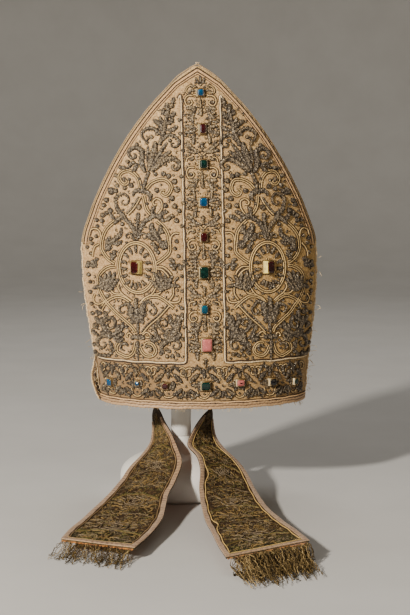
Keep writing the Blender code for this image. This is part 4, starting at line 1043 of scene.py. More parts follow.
def rim_place(side_s, z):
    """Point and outward direction round the hem; side_s runs 0..4 (front 0-2,
    back 2-4), z is the height above the rim."""
    q = np.mod(side_s, 4.0)
    side = np.where(q < 2, -1, 1)
    s = np.where(q < 2, q - 1, 3 - q)
    s = np.sin(s * np.pi / 2) * 0.45 + s * 0.55
    h = np.maximum(0.0, z)
    w = half_width(h) * 0.9999
    P1, N1 = face_frame(s * w, h, -1)
    P2, N2 = face_frame(s * w, h, 1)
    f = (side < 0)[..., None]
    P, N = np.where(f, P1, P2), np.where(f, N1, N2)
    N = unit(N * np.array([1.0, 1.0, 0.0]))
    edge = np.clip((np.abs(s) - 0.985) / 0.015, 0, 1)[..., None]
    out = np.stack([np.sign(s), 0 * s, 0 * s], -1)
    N = unit(N * (1 - edge) + out * edge)
    P = P.copy()
    P[..., 2] = RIM_Z + z
    return P, N


def rim_hem():
    """Flat woven galloon over the rim: four raised lines and a close rib."""
    heap = Heap()
    around = np.linspace(0, 4, 521)[:-1]
    prof = ((-0.0008, 0.0006), (-0.0009, 0.0013), (-0.0003, 0.0018), (0.0005, 0.0016), (0.0013, 0.0017), (0.0021, 0.0012),
            (0.0026, 0.0007), (0.0031, 0.0012), (0.0038, 0.0017), (0.0047, 0.0018), (0.0054, 0.0015), (0.0060, 0.0006))
    rows, crest = [], []
    lift0 = GAP
    for z, off in prof:
        wave = 0.00035 * np.sin(around * 23.0) + 0.00025 * np.sin(around * 61 + z * 300) + 0.0003 * np.sin(around * 171 + z * 900)
        P, N = rim_place(around, np.full(around.shape, z))
        rib = 0.00012 * np.cos(around * 86 * np.pi + 6 * z * 100) * (off > 0.001)
        q = P + N * (lift0 + off * 0.8 + rib + 0.00018)[:, None]
        q[:, 2] = RIM_Z + z + wave * (1.0 if z > 0.0 else 0.8)
        rows.append(q)
        crest.append(np.clip((off - 0.0006) / 0.0011, 0, 1) * (0.80 + 0.12 * np.cos(around * 86 * np.pi + 6 * z * 100)) + 0.32 * (rng.random(len(around)) - 0.5))
    pts = np.stack(rows)
    heap.grid(np.concatenate([pts, pts[:1]]), None, 0.6, np.concatenate([np.stack(crest), crest[0][None]]), wrap=True)
    # cord along its upper edge
    P, N = rim_place(around, np.full(around.shape, 0.0073) + 0.0003 * np.sin(around * 37))
    tube_on(heap, P, N, 0.00080, 6, 0.9, 1.3, closed=True, mat=1, twist=0.25, pitch=0.0044)
    P, N = rim_place(around, np.full(around.shape, 0.0089))
    tube_on(heap, P, N, 0.00055, 4, 0.4, 0.5, closed=True, mat=2)
    P, N = rim_place(around, np.full(around.shape, 0.0061))
    tube_on(heap, P, N, 0.00095, 5, 0.4, 1.0, closed=True, mat=2)
    return heap.build("rim_hem", [GALLOON, TAPE, DARK_LINE], "galloon", ("rim_galloon",))


rim_hem()


def field_frame(name, s, side, node):
    """Couched lumpy pale cord that frames a field, with finer dark tubes along it as painted shade."""
    cloth = front if side < 0 else back
    heap = Heap()
    hs = np.linspace(0.376, BAND_H + 0.0035, 22)
    line = [(band_middle(0.38) + s * 0.0262, 0.3735), (band_middle(0.38) + s * 0.0248, 0.3775)] + [(band_middle(h) + s * (BAND_HALF + 0.00022 * math.sin(h * 260 + s)), h) for h in hs]
    line.append((band_middle(BAND_H) + s * (BAND_HALF + 0.0016), BAND_H + 0.0006))
    far = float(half_width(BAND_H)) - 0.004
    line += [(s * x, BAND_H + 0.0003 * math.sin(x * 200)) for x in np.linspace(BAND_HALF + 0.006, far, 12)]
    P, _ = resample(line, 0.0017 * min(1.6, cloth.coarse))
    # one lumpy pale cord; painted shade: dark tubes close along both sides, wider on the shaded one
    wave = np.interp(np.arange(len(P)), np.arange(0, len(P) + 6, 3), rng.normal(0, 0.00022, len(np.arange(0, len(P) + 6, 3))))
    fat = 1 + np.interp(np.arange(len(P)), np.arange(0, len(P) + 4, 2), rng.normal(0, 0.10, len(np.arange(0, len(P) + 4, 2))))
    for off, r, mat, tone, tw in ((0.0, 0.00090, 0, 1.0, 0.12), (-0.00145, 0.00072, 1, 0.4, 0.0), (-0.0024, 0.00045, 1, 0.4, 0.0),
                                  (0.00125, 0.00042, 1, 0.4, 0.0)):
        S = side_of(P)
        Q = P - S * (off + wave)[:, None]
        pt, nn = cloth.place(Q[:, 0], Q[:, 1])
        tube_on(heap, pt, nn, r * (fat if not mat else 1), 4 if mat else 7, tone, 0.35 if mat else 0.85, mat=mat, twist=tw, pitch=0.004)
    return heap.build(name, [PALE, DARK_LINE], "gold_cord", (node,))


for _side, _where in ((-1, "front"), (1, "back")):
    field_frame("frame_%s_left" % _where, -1, _side, "field_cord_%s_left" % _where)
    field_frame("frame_%s_right" % _where, 1, _side, "field_cord_%s_right" % _where)


def ring(name, s, node):
    heap = Heap()
    a = np.linspace(0, 2 * np.pi, 40, endpoint=False)
    for grow, r, tone in ((0.0, 0.00080, 1.0), (0.0024, 0.00072, 0.9)):
        pts = np.stack([s * RING_X + (RING_A - 0.0008 + grow) * np.cos(a), RING_H + (RING_B - 0.0008 + grow) * np.sin(a)], -1)
        front.cord(heap, pts, r, tone=tone, closed=True)
    return heap.build(name, [GOLD, DARK_LINE], "gold_cord", (node,))


ring("medallion_ring_left", -1, "ring_left")
ring("medallion_ring_right", 1, "ring_right")


def lay_field(where, cloth, s):
    """The charted field: couched gold scrolls, padded silver leaves, berries.
    s is -1 for the left field, as charted, and 1 for its mirror image."""
    turned = cloth if s < 0 else mirrored(cloth, -1)
    cords, leaves = Heap(), Heap()
    for row in FIELD:
        kind, width, pts = row[0], row[1] / 1000, np.array(row[2:]) / 1000
        if s > 0:
            pts = pts + rng.normal(0, 0.00035, pts.shape)
        if kind in ("pair", "cord"):
            turned.cord(cords, pts, 0.00066 if kind == "pair" else 0.00080, pair=kind == "pair", tone=rng.uniform(0.8, 1.0))
        else:
            tone = rng.uniform(0.0, 0.75)
            turned.leaf(leaves, pts, width * 1.12, kind, tone)
            if kind in ("leaf", "club") and width > 0.0024:
                turned.lobes(leaves, pts, width, tone, 0.0040 * cloth.coarse)
            elif kind == "curl" and width > 0.0024:
                turned.lobes(leaves, pts[:max(2, len(pts) * 2 // 3)], width * 0.9, tone, 0.0042 * cloth.coarse)
    for x, h, r in FIELD_BERRIES:
        turned.berry(leaves, x / 1000 + rng.normal(0, 0.0003), h / 1000 + rng.normal(0, 0.0003), r / 1000 * 1.32)
    # small curls and knots in the open ground, close below the medallion, loose above
    local = np.random.default_rng(60 + s)
    taken = [resample(np.array(row[2:]) / 1000, 0.0016)[0] for row in FIELD]
    taken.append(np.array([(x / 1000, h / 1000) for x, h, r in FIELD_BERRIES]))

    def open_ground(x, h, low):
        if h > 0.372 or x < -(float(half_width(h)) - (0.0115 if h > CLEFT_H else 0.0065)) or x > band_middle(h) - BAND_HALF - 0.0045:
            return False
        if ((x + RING_X) / (RING_A + .0035)) ** 2 + ((h - RING_H) / (RING_B + .0035)) ** 2 < 1:
            return False
        return (h < 0.150) == low

    for low, clear, space, tries in ((True, 0.0037, 0.0052, 1500), (False, 0.0046, 0.0085, 900)) if cloth is front else ():
        for p in scatter(local, taken, (-0.145, -0.022, 0.060 if low else 0.150, 0.150 if low else 0.372),
                         lambda x, h: open_ground(x, h, low), clear, space, tries):
            filler(turned, leaves, local, p, 0.0023 if low else 0.0021, (0.0, 0.8))
    # small knots between the leaves of the ring round the medallion's stone
    for k in range(14):
        a = (k + 0.5) * 2 * math.pi / 14
        for f, r in ((0.80, 1.55), (0.60, 1.25)):
            turned.berry(leaves, -RING_X + RING_A * f * math.cos(a), RING_H + RING_B * f * math.sin(a), r / 1000)
    tag = "%s_%s" % (where, "left" if s < 0 else "right")
    leaves.build("leaves_" + tag, [SILVER], "embroidery")
    cords.build("scrolls_" + tag, [GOLD, DARK_LINE], "gold_cord")


for _s in (-1, 1):
    lay_field("front", front, _s)
    lay_field("back", back, _s)


# The upright band repeats from jewel to jewel.  Each row: kind, width in mm,
# then (across in mm on the left side, share of the way to the next jewel).
UNIT_A = (
    ("cord", 0, (-9.0, .07), (-15.2, .08), (-18.6, .17), (-18.2, .28), (-15.6, .35), (-11.6, .33), (-9.8, .26), (-11.8, .21)),
    ("leaf", 4.6, (-8.4, .47), (-13.0, .42), (-18.2, .43)),
    ("leaf", 4.4, (-8.6, .52), (-13.2, .56), (-18.0, .54)),
    ("leaf", 3.8, (-9.2, .60), (-13.2, .66), (-17.6, .68)),
    ("leaf", 3.8, (-5.4, .42), (-9.6, .55), (-10.8, .72), (-9.6, .90)),
    ("leaf", 4.2, (-6.4, .985), (-12.4, .93), (-20.0, .90)),
    ("leaf", 4.2, (-6.4, 1.02), (-12.4, 1.07), (-20.0, 1.08)),
    ("leaf", 3.2, (-4.0, .36), (-7.4, .41), (-11.4, .38)),
)
UNIT_A_MID = (("club", 5.6, (0, .14), (0, .30), (0, .46), (0, .64)), ("leaf", 3.0, (0, .16), (-.4, .22), (0, .30)))
UNIT_A_BERRIES = ((-13.6, .25, 2.4), (-19.4, .62, 1.8), (-6.6, .70, 1.5), (-15.4, .78, 1.9), (-18.8, .80, 1.6), (-4.6, .30, 1.5), (-19.6, .99, 1.7))
UNIT_B = (
    ("leaf", 4.0, (-7.4, .12), (-9.8, .26), (-9.4, .44)),
    ("leaf", 3.8, (-1.6, .64), (-8.2, .60), (-14.6, .50), (-20.4, .40)),
    ("leaf", 3.6, (-3.4, .66), (-10.6, .645), (-19.0, .60)),
    ("leaf", 3.4, (-11.0, .52), (-14.8, .42), (-18.6, .30)),
    ("cord", 0, (-1.0, .76), (-3.4, .69), (-5.6, .66)),
    ("cord", 0, (-18.8, .92), (-18.2, .84), (-14.6, .79), (-9.4, .80)),
    ("leaf", 3.6, (-15.4, .88), (-12.6, .85), (-9.4, .79)),
)
UNIT_B_MID = (("club", 5.0, (0, .64), (0, .54), (0, .36)), ("leaf", 3.2, (0, .87), (0, .80), (0, .72)))
UNIT_B_BERRIES = ((-14.4, .20, 2.0), (-18.8, .18, 1.8), (-5.6, .78, 1.5), (-6.4, .87, 1.6), (-19.0, .73, 1.7), (-15.2, .72, 1.5), (-5.0, .26, 1.3))
SPINE = (0.3807, 0.3369, 0.2947, 0.2495, 0.2077, 0.1651, 0.1210, 0.0777, 0.0345)


def lay_band(where, cloth):
    leaves, cords = Heap(), Heap()
    for i in range(8):
        h0, h1 = SPINE[i], SPINE[i + 1]
        gap = h0 - h1
        unit_rows, mid, berries = ((UNIT_A, UNIT_A_MID, UNIT_A_BERRIES) if i % 2 == 0
                                   else (UNIT_B, UNIT_B_MID, UNIT_B_BERRIES))

        def at(x, t, s):
            h = h0 - gap * t
            return (band_middle(h) + s * x / 1000 + rng.normal(0, .0002), h + rng.normal(0, .0002))

        for s in (1, -1):
            for row in unit_rows:
                pts = [at(x, t, s) for x, t in row[2:]]
                if min(p[1] for p in pts) < 0.058:
                    continue
                if row[0] == "cord":
                    cloth.cord(cords, pts, 0.00070, tone=0.9)
                else:
                    tone = rng.uniform(0.5, 1.0)
                    cloth.leaf(leaves, pts, row[1] / 1000 * 1.26, row[0], tone)
                    cloth.lobes(leaves, pts, row[1] / 1000, tone, 0.0040 * cloth.coarse)
            for x, t, r in berries:
                x, h = at(x, t, s)
                if h > 0.058:
                    cloth.berry(leaves, x, h, r / 1000 * 1.15)
        for row in mid:
            pts = [at(x, t, 1) for x, t in row[2:]]
            if min(p[1] for p in pts) > 0.050:
                tone = rng.uniform(0.6, 1.0)
                cloth.leaf(leaves, pts, row[1] / 1000 * 1.2, row[0], tone)
                cloth.lobes(leaves, pts, row[1] / 1000, tone, 0.0040 * cloth.coarse)
        if h1 > 0.05:
            local = np.random.default_rng(80 + i)
            spots = [resample(np.array([at(x, t, s) for x, t in row[2:]]), 0.0016)[0] for s in (1, -1) for row in unit_rows]
            spots += [np.array([at(x, t, s) for x, t, r in berries]) for s in (1, -1)]
            spots.append(np.array([(band_middle(hh), hh) for hh in np.linspace(h0, h1, 16)]))
            for p in scatter(local, spots, (-0.0200, 0.0225, h1, h0), lambda x, h: True, 0.0034, 0.0048, 260):
                filler(cloth, leaves, local, p, 0.0021, (0.5, 1.0))
        if where == "back":
            # a padded rosette takes each jewel's place behind
            for k in range(6):
                a = k * math.pi / 3 + 0.3
                m = band_middle(h0)
                cloth.leaf(leaves, [(m, h0), (m + .0028 * math.cos(a), h0 + .0028 * math.sin(a)),
                                    (m + .0062 * math.cos(a), h0 + .0062 * math.sin(a))], 0.0040, "leaf")
            cloth.berry(leaves, band_middle(h0), h0, 0.0019, high=0.0026)
    # the sprays over the top jewel
    for s in (1, -1):
        for w, pts in ((3.6, ((-1.0, 391.0), (-3.6, 394.0), (-5.4, 399.4))), (3.4, ((-3.4, 387.0), (-8.0, 389.0), (-11.6, 386.4))),
                       (3.2, ((-6.0, 383.0), (-10.8, 383.6), (-14.8, 379.6)))):
            cloth.leaf(leaves, [(band_middle(0.39) + s * x / 1000, h / 1000) for x, h in pts], w / 1000)
        cloth.cord(cords, [(band_middle(.38) + s * x / 1000, h / 1000) for x, h in
                           ((-7.2, 386), (-10.6, 389.6), (-15.2, 387.4), (-17.4, 382.8), (-14.2, 379.8), (-11.4, 381.8))], 0.00058)
        cloth.berry(leaves, band_middle(.39) + s * 0.0060, 0.3925, 0.0017)
        cloth.berry(leaves, band_middle(.39) + s * 0.0110, 0.3925 - .0015, 0.0014)
    cloth.berry(leaves, band_middle(.39), 0.3905, 0.0022)
    cloth.leaf(leaves, [(band_middle(.39), 0.3925), (band_middle(.39), 0.3965), (band_middle(.39), 0.4015)], 0.0038)
    leaves.build("leaves_%s_band" % where, [BRONZE], "embroidery")
    cords.build("scrolls_%s_band" % where, [GOLD, DARK_LINE], "gold_cord")


lay_band("front", front)
lay_band("back", back)


# painted shade: a darker copy of the silver thread for the band along the rim
RIM_SILVER = silver_material("rim_silver_thread", 0.58, 0.66)

# The band along the rim: the same small scrolls and leaves between stones.
RIM_UNIT = (
    ("leaf", 4.2, (.10, 31), (.22, 37), (.36, 42)),
    ("leaf", 4.0, (.10, 24), (.22, 19), (.38, 15)),
    ("leaf", 3.8, (.14, 28), (.28, 28), (.42, 31)),
    ("leaf", 3.6, (.50, 36), (.50, 42), (.50, 49)),
    ("leaf", 4.0, (.50, 23), (.42, 27), (.34, 33)),
    ("leaf", 4.0, (.50, 23), (.58, 27), (.66, 33)),
    ("leaf", 4.2, (.90, 31), (.78, 37), (.64, 42)),
    ("leaf", 4.0, (.90, 24), (.78, 19), (.62, 15)),
    ("cord", 0, (.24, 46), (.10, 50), (-.02, 46), (.02, 40), (.12, 41), (.12, 45)),
    ("cord", 0, (.76, 46), (.90, 50), (1.02, 46), (.98, 40), (.88, 41), (.88, 45)),
    ("cord", 0, (.30, 22), (.38, 14.5), (.50, 12.5), (.62, 14.5), (.70, 22)),
    ("curl", 3.4, (.16, 44), (.24, 49), (.36, 50), (.42, 45), (.36, 42)),
    ("curl", 3.4, (.84, 44), (.76, 49), (.64, 50), (.58, 45), (.64, 42)),
    ("curl", 3.2, (.06, 22), (.10, 15), (.20, 12.6), (.28, 15.5), (.24, 19)),
    ("curl", 3.2, (.94, 22), (.90, 15), (.80, 12.6), (.72, 15.5), (.76, 19)),
    ("leaf", 3.4, (.05, 35), (.00, 41), (-.04, 49)),
    ("leaf", 3.4, (.05, 21), (.00, 16.5), (-.04, 12.6)),
    ("leaf", 3.2, (.30, 31), (.36, 26), (.40, 21)),
    ("leaf", 3.2, (.70, 31), (.64, 26), (.60, 21)),
)
RIM_BERRIES = ((.50, 30, 1.9), (.36, 48, 1.8), (.64, 48, 1.8), (.06, 17, 1.7), (.94, 17, 1.7), (.20, 50, 1.5), (.80, 50, 1.5),
               (.50, 17.5, 1.7), (.26, 33, 1.3), (.74, 33, 1.3), (.14, 13.6, 1.4), (.86, 13.6, 1.4))


def lay_rim(where, cloth):
    leaves, cords = Heap(), Heap()
    stops = [-0.1265, -0.1010, -0.0665, -0.0250, 0.0200, 0.0610, 0.0970, 0.1255]
    for a, b in zip(stops, stops[1:]):
        wide = b - a
        for row in RIM_UNIT:
            pts = [(a + t * wide + rng.normal(0, .0003), h / 1000 + rng.normal(0, .0003)) for t, h in row[2:]]
            if row[0] == "cord":
                cloth.cord(cords, pts, 0.00068, tone=0.9)
            else:
                tone = rng.uniform(0.2, 0.95)
                cloth.leaf(leaves, pts, row[1] / 1000 * 1.22 * min(1.1, max(0.85, wide / 0.036)), row[0], tone)
                cloth.lobes(leaves, pts, row[1] / 1000, tone, 0.0040 * cloth.coarse)
        for t, h, r in RIM_BERRIES:
            cloth.berry(leaves, a + t * wide, h / 1000, r / 1000)
    local = np.random.default_rng(90)
    spots = [resample(np.array([(a + t * (b - a), h / 1000) for t, h in row[2:]]), 0.0016)[0]
             for a, b in zip(stops, stops[1:]) for row in RIM_UNIT]
    spots.append(np.array([(a + t * (b - a), h / 1000) for a, b in zip(stops, stops[1:]) for t, h, r in RIM_BERRIES]))
    spots.append(np.array([(x + dx, h + dh) for x, h in ((-.1158, .0264), (-.0825, .0285), (-.0492, .0268), (-.0007, .0276), (.0413, .0304),
                                                       (.0813, .0290), (.1122, .0260)) for dx in (-.004, 0, .004) for dh in (-.004, 0, .004)]))
    for p in scatter(local, spots, (-0.1255, 0.1255, 0.0115, 0.0525), lambda x, h: abs(x) < float(half_width(h)) - 0.0040,
                     0.0034, 0.0048, 2600 if cloth is front else 500):
        filler(cloth, leaves, local, p, 0.0022, (0.0, 0.9))
    leaves.build("leaves_%s_rim" % where, [RIM_SILVER], "embroidery")
    cords.build("scrolls_%s_rim" % where, [GOLD, DARK_LINE], "gold_cord")


lay_rim("front", front)
lay_rim("back", back)


# ------------------------------------------------------------------ jewels
JEWELS = (
    # name           x        h       wide    high    rise    turn  stone
    ("spine_1", 0.0028, 0.3807, 0.0086, 0.0086, 0.0034, 0.0, "blue"),
    ("spine_2", 0.0040, 0.3369, 0.0086, 0.0120, 0.0036, 0.0, "garnet"),
    ("spine_3", 0.0037, 0.2947, 0.0098, 0.0108, 0.0036, 0.0, "green"),
    ("spine_4", 0.0023, 0.2495, 0.0098, 0.0108, 0.0036, 0.0, "blue"),
    ("spine_5", 0.0017, 0.2077, 0.0086, 0.0112, 0.0036, 0.0, "red"),
    ("spine_6", 0.0008, 0.1651, 0.0114, 0.0146, 0.0042, 0.0, "green"),
    ("spine_7", 0.0000, 0.1210, 0.0086, 0.0110, 0.0036, 0.0, "turquoise"),
    ("spine_8", 0.0019, 0.0777, 0.0128, 0.0162, 0.0040, 0.0, "pink"),
    ("rim_1", -0.1158, 0.0264, 0.0092, 0.0092, 0.0034, 0.0, "blue"),
    ("rim_2", -0.0825, 0.0285, 0.0062, 0.0062, 0.0030, 0.0, "blue"),
    ("rim_3", -0.0492, 0.0268, 0.0080, 0.0078, 0.0034, 0.0, "garnet"),
    ("rim_4", -0.0007, 0.0276, 0.0118, 0.0108, 0.0038, 0.0, "green"),
    ("rim_5", 0.0413, 0.0304, 0.0104, 0.0084, 0.0036, 0.0, "pink"),
    ("rim_6", 0.0813, 0.0290, 0.0104, 0.0088, 0.0044, 0.0, "onyx"),
    ("rim_7", 0.1122, 0.0260, 0.0084, 0.0078, 0.0034, 0.0, "green"),
    ("disc_left", -0.0795, 0.1706, 0.0122, 0.0148, 0.0062, -18.0, "red"),
    ("disc_right", 0.0795, 0.1706, 0.0122, 0.0148, 0.0062, 18.0, "red"),
)
STONES = {
    # colour: lit tone, deep tone
    "blue": ((0.004, 0.085, 0.20), (0.001, 0.018, 0.055)),
    "garnet": ((0.050, 0.003, 0.005), (0.010, 0.001, 0.001)),
    "green": ((0.001, 0.026, 0.017), (0.0003, 0.005, 0.004)),
    "red": ((0.055, 0.002, 0.003), (0.008, 0.0006, 0.0006)),
    "turquoise": ((0.006, 0.10, 0.15), (0.001, 0.022, 0.045)),
    "pink": ((0.46, 0.125, 0.115), (0.17, 0.025, 0.025)),
    "onyx": ((0.008, 0.007, 0.008), (0.002, 0.002, 0.002)),
}


def stone_material(colour):
    lit, deep = STONES[colour]
    m = Mat("stone_" + colour, 0.20, IOR=1.55, Specular_IOR_Level=0.35, Coat_Weight=0.12, Coat_Roughness=0.1)
    tone = m.att("tone")
    spark = m.noise(330, 3, 0.6)
    base = m.mix(tone, deep, lit)
    base = m.mix(m.fit(spark, 0.54, 0.74, 0, 0.6), base, tuple(min(1.0, c * 2.2 + 0.01) for c in lit))
    return m.done(base, m.bump(m.noise(300, 1), 0.08, 0.0004))


def gilt_material(name="silver_gilt", k=1.0, metal=0.8, last=(0.42, 0.34, 0.20)):
    m = Mat(name, 0.32, metal)
    fine, mid = m.noise(500, 3), m.noise(160, 2)
    crest = m.att("crest")
    # painted shade and highlight by crest: dark at the foot of a box and down in its seat, pale on its wall and rim
    base = m.ramp(crest, (0.0, (0.020, 0.011, 0.004)), (0.42, tuple(c * k for c in (0.085, 0.050, 0.018))),
                  (0.7, tuple(c * k for c in (0.15, 0.092, 0.032))), (1.0, tuple(min(0.97, c * k) for c in last)))
    base = m.mix(m.fit(mid, 0.45, 0.7, 0, 0.45), base, (0.20, 0.12, 0.035))
    return m.done(base, m.bump(fine, 0.35, 0.0004), m.fit(fine, 0.3, 0.7, 0.24, 0.5))


GILT = gilt_material("silver_gilt", 1.7, 0.15)
# painted reflection: a brighter, non-metal copy of the gilt for the two medallion boxes, whose side wall is painted
# bright as if it reflected the light
GILT_PAINTED_BRIGHT = gilt_material("silver_gilt_rubbed", 2.0, 0.0, (0.49, 0.385, 0.115))
STONE_MATS = {k: stone_material(k) for k in STONES}


def jewel(name, x, h, wide, high, rise, turn, colour):
    P, N = face_frame(np.array([x]), np.array([h]), -1)
    p, n = P[0], N[0]
    q = face(np.array([x + 0.0008]), np.array([h]), -1)[0] - face(np.array([x - 0.0008]), np.array([h]), -1)[0]
    across = unit(q - n * np.dot(q, n))
    up = np.cross(n, across)
    up = up if up[2] > 0 else -up
    foot = p + n * 0.0005
    t = math.radians(turn)
    top_n = unit(n * math.cos(t) + across * math.sin(t))
    top_a = unit(across * math.cos(t) - n * math.sin(t))
    top = foot + unit(n + top_n) * (rise + 0.0004)

    def ring(c, a, w, v, r, per=3):
        pts = []
        for i, j, start in ((1, 1, 0), (-1, 1, 90), (-1, -1, 180), (1, -1, 270)):
            for k in range(per):
                g = math.radians(start + 90 * k / (per - 1))
                pts.append(c + a * (i * (w / 2 - r) + r * math.cos(g)) + up * (j * (v / 2 - r) + r * math.sin(g)))
        return pts

    box = Heap()
    b = 0.00038
    iw, ih = wide - 2 * b, high - 2 * b
    sink = min(0.0018, rise * 0.5)
    mid = (foot + top) / 2
    ma = unit(across + top_a)
    rings = [ring(foot - n * 0.0002, across, wide + 0.0024, high + 0.0018, 0.0010),
             ring(foot + n * 0.0004, across, wide + 0.0026, high + 0.0020, 0.0010),
             ring(foot + n * 0.0009, across, wide + 0.0016, high + 0.0010, 0.0008),
             ring(mid, ma, wide + 0.0001, high + 0.0001, 0.0007),
             ring(top - top_n * 0.0004, top_a, wide, high, 0.0006),
             ring(top + top_n * 0.0001, top_a, wide - 0.0004, high - 0.0004, 0.0005),
             ring(top - top_n * 0.0000, top_a, iw, ih, 0.0004),
             ring(top - top_n * sink, top_a, iw, ih, 0.0004)]
    # painted light: the walls on the left of each box painted bright as if lit and the rest painted dark as shade; a
    # box with a negative turn has its right walls bright instead
    painted_lit_side = np.array([turn < 0] * 3 + [turn >= 0] * 6 + [turn < 0] * 3)[None]
    crest = np.array([0, .5, .8, 1.0, 1.0, 1.0, .5, .1])[:, None] * np.where(painted_lit_side, 1.0, 0.32)
    box.grid(np.array(rings), None, 0.5, crest, 0, wrap=True, close=True)
    # four small claws folded over the stone's corners
    for i, j in ((1, 1), (-1, 1), (-1, -1), (1, -1)):
        c0 = top + top_a * (i * (wide / 2 - 0.0003)) + up * (j * (high / 2 - 0.0003)) - top_n * 0.0009
        c1 = top + top_a * (i * (wide / 2 - 0.0006)) + up * (j * (high / 2 - 0.0006)) + top_n * 0.0004
        c2 = top + top_a * (i * (wide / 2 - 0.0017)) + up * (j * (high / 2 - 0.0017)) + top_n * 0.0008
        pts, _ = resample([c0, c1, c2], 0.0005)
        tube_on(box, pts, np.tile(top_n, (len(pts), 1)), np.linspace(0.00042, 0.0002, len(pts)), 6, 0.7, 0.0)
    # beaded wire at its foot
    ring_pts = np.array(ring(foot + n * 0.0006, across, wide + 0.0022, high + 0.0022, 0.0012, 4))
    line, _ = resample(ring_pts, 0.00085, True)
    tube_on(box, line[:-1], np.tile(n, (len(line) - 1, 1)), 0.00045, 6, 0.3, 0.0, closed=True, mat=1, twist=0.3, pitch=0.0017)
    box.build("box_" + name, [GILT_PAINTED_BRIGHT if turn else GILT, PURL], "setting", ("setting_" + name,), sharp=45)

    gem = Heap()
    gw, gh = iw - 2 * GAP, ih - 2 * GAP
    r = 0.0005
    if colour in ("pink", "onyx"):
        prof = ((-(sink - GAP), 0.0, r, .1), (-0.0001, 0.0, r, .45), (0.0006, 0.0006, 0.0011, .75), (0.0011, 0.0016, 0.0016, .9),
                (0.0014, 0.0030, 0.0014, 1.0))
    else:
        prof = ((-(sink - GAP), 0.0, r, .1), (-0.0001, 0.0, r, .40), (0.0004, 0.0007, r, .65), (0.0008, 0.0015, r * .8, .2))
    # painted light: each row of a stone toned between deep and lit, brightest on the bevel of a cut stone and the top
    # of a domed one, with the upper corners lighter still and the lower left darker
    rows, tones = [], []
    for z, cut, rr, tone in prof:
        rows.append(ring(top + top_n * z, top_a, gw - 2 * cut, gh - 2 * cut, max(0.0002, min(rr, (gw - 2 * cut) * .45))))
        lean = np.array([0.28 if k < 3 else 0.45 if k < 6 else -0.1 if k < 9 else 0.0 for k in range(12)])
        tones.append(np.clip(tone + lean * (0 < tone < 1), 0, 1))
    gem.grid(np.array(rows), None, np.array(tones), 1.0, 0, wrap=True, close=True)
    gem.build("gem_" + name, [STONE_MATS[colour]], "stone_" + colour, ("stone_" + name,), smooth=colour in ("pink", "onyx"), sharp=30)

    # painted highlight: short pale tubes at the left of each box stand for the glint on its lit left wall
    if not turn:
        bright = Heap()
        for f in (-0.30, 0.05, 0.36):
            hh = h + f * high
            pts = [(x - wide / 2 - 0.0006, hh), (x - wide / 2 - 0.0014, hh + 0.0004), (x - wide / 2 - 0.0020, hh)]
            P_, _ = resample(pts, 0.0005)
            pt, nn = front.place(P_[:, 0], P_[:, 1])
            tube_on(bright, pt, nn, 0.00080, 6, 1.0, 0.9, mat=0)
        bright.build("feet_" + name, [PALE], "setting")

    # ears: small loops of tarnished purl at both sides, and sprigs above and below
    ears = Heap()
    loops = 3 if name.startswith("spine") else 2
    for s in (-1, 1):
        for k in range(loops):
            f = (k - (loops - 1) / 2) / max(1, loops - 1) if loops > 1 else 0
            hh = h + f * high * 0.85
            x0 = x + s * (wide / 2 + 0.0010)
            reach = 0.0034 + 0.0010 * rng.random() - abs(f) * 0.0008
            pts = [(x0, hh - 0.0004), (x0 + s * reach * .6, hh + 0.0011 + f * .001), (x0 + s * reach, hh + f * .0018),
                   (x0 + s * reach * .6, hh - 0.0011 + f * .001), (x0, hh + 0.0002)]
            front.cord(ears, pts, 0.00052, tone=0.2 + 0.7 * rng.random(), mat=0, shade=None)
    for s in (-1, 1):
        y0 = h + s * (high / 2 + 0.0012)
        pts = [(x - 0.0012, y0), (x - 0.0016, y0 + s * 0.0016), (x, y0 + s * 0.0026), (x + 0.0016, y0 + s * 0.0016), (x + 0.0012, y0)]
        front.cord(ears, pts, 0.00045, tone=0.9, mat=1, shade=None)
    ears.build("ears_" + name, [PURL, GOLD], "gold_cord")


for _row in JEWELS:
    jewel(*_row)


# ----------------------------------------------------------------- lappets
LAPPET_T, BORDER_W = 0.0018, 0.0050
LAPPET_LEFT = np.array((
    # left edge x, y, z           right edge x, y, z
    (0.0020, 0.0535, 0.1230, -0.0460, 0.0385, 0.1230), (-0.0100, 0.0550, 0.1110, -0.0430, 0.0330, 0.1140),
    (-0.0320, 0.0540, 0.0980, -0.0300, 0.0180, 0.1040), (-0.0345, 0.0330, 0.0720, -0.0215, 0.0010, 0.0890),
    (-0.0385, 0.0080, 0.0590, -0.0130, -0.0240, 0.0785), (-0.0500, -0.0240, 0.0500, -0.0060, -0.0530, 0.0640),
    (-0.0660, -0.0540, 0.0410, -0.0025, -0.0770, 0.0515), (-0.0770, -0.0820, 0.0310, -0.0110, -0.1060, 0.0370),
    (-0.0895, -0.1132, 0.0235, -0.0208, -0.1338, 0.0270), (-0.1029, -0.1414, 0.0170, -0.0250, -0.1623, 0.0200),
    (-0.1174, -0.1831, 0.0135, -0.0302, -0.2004, 0.0150), (-0.1298, -0.2189, 0.0120, -0.0407, -0.2404, 0.0125),
    (-0.1399, -0.2676, 0.0125, -0.0617, -0.3052, 0.0125),
))
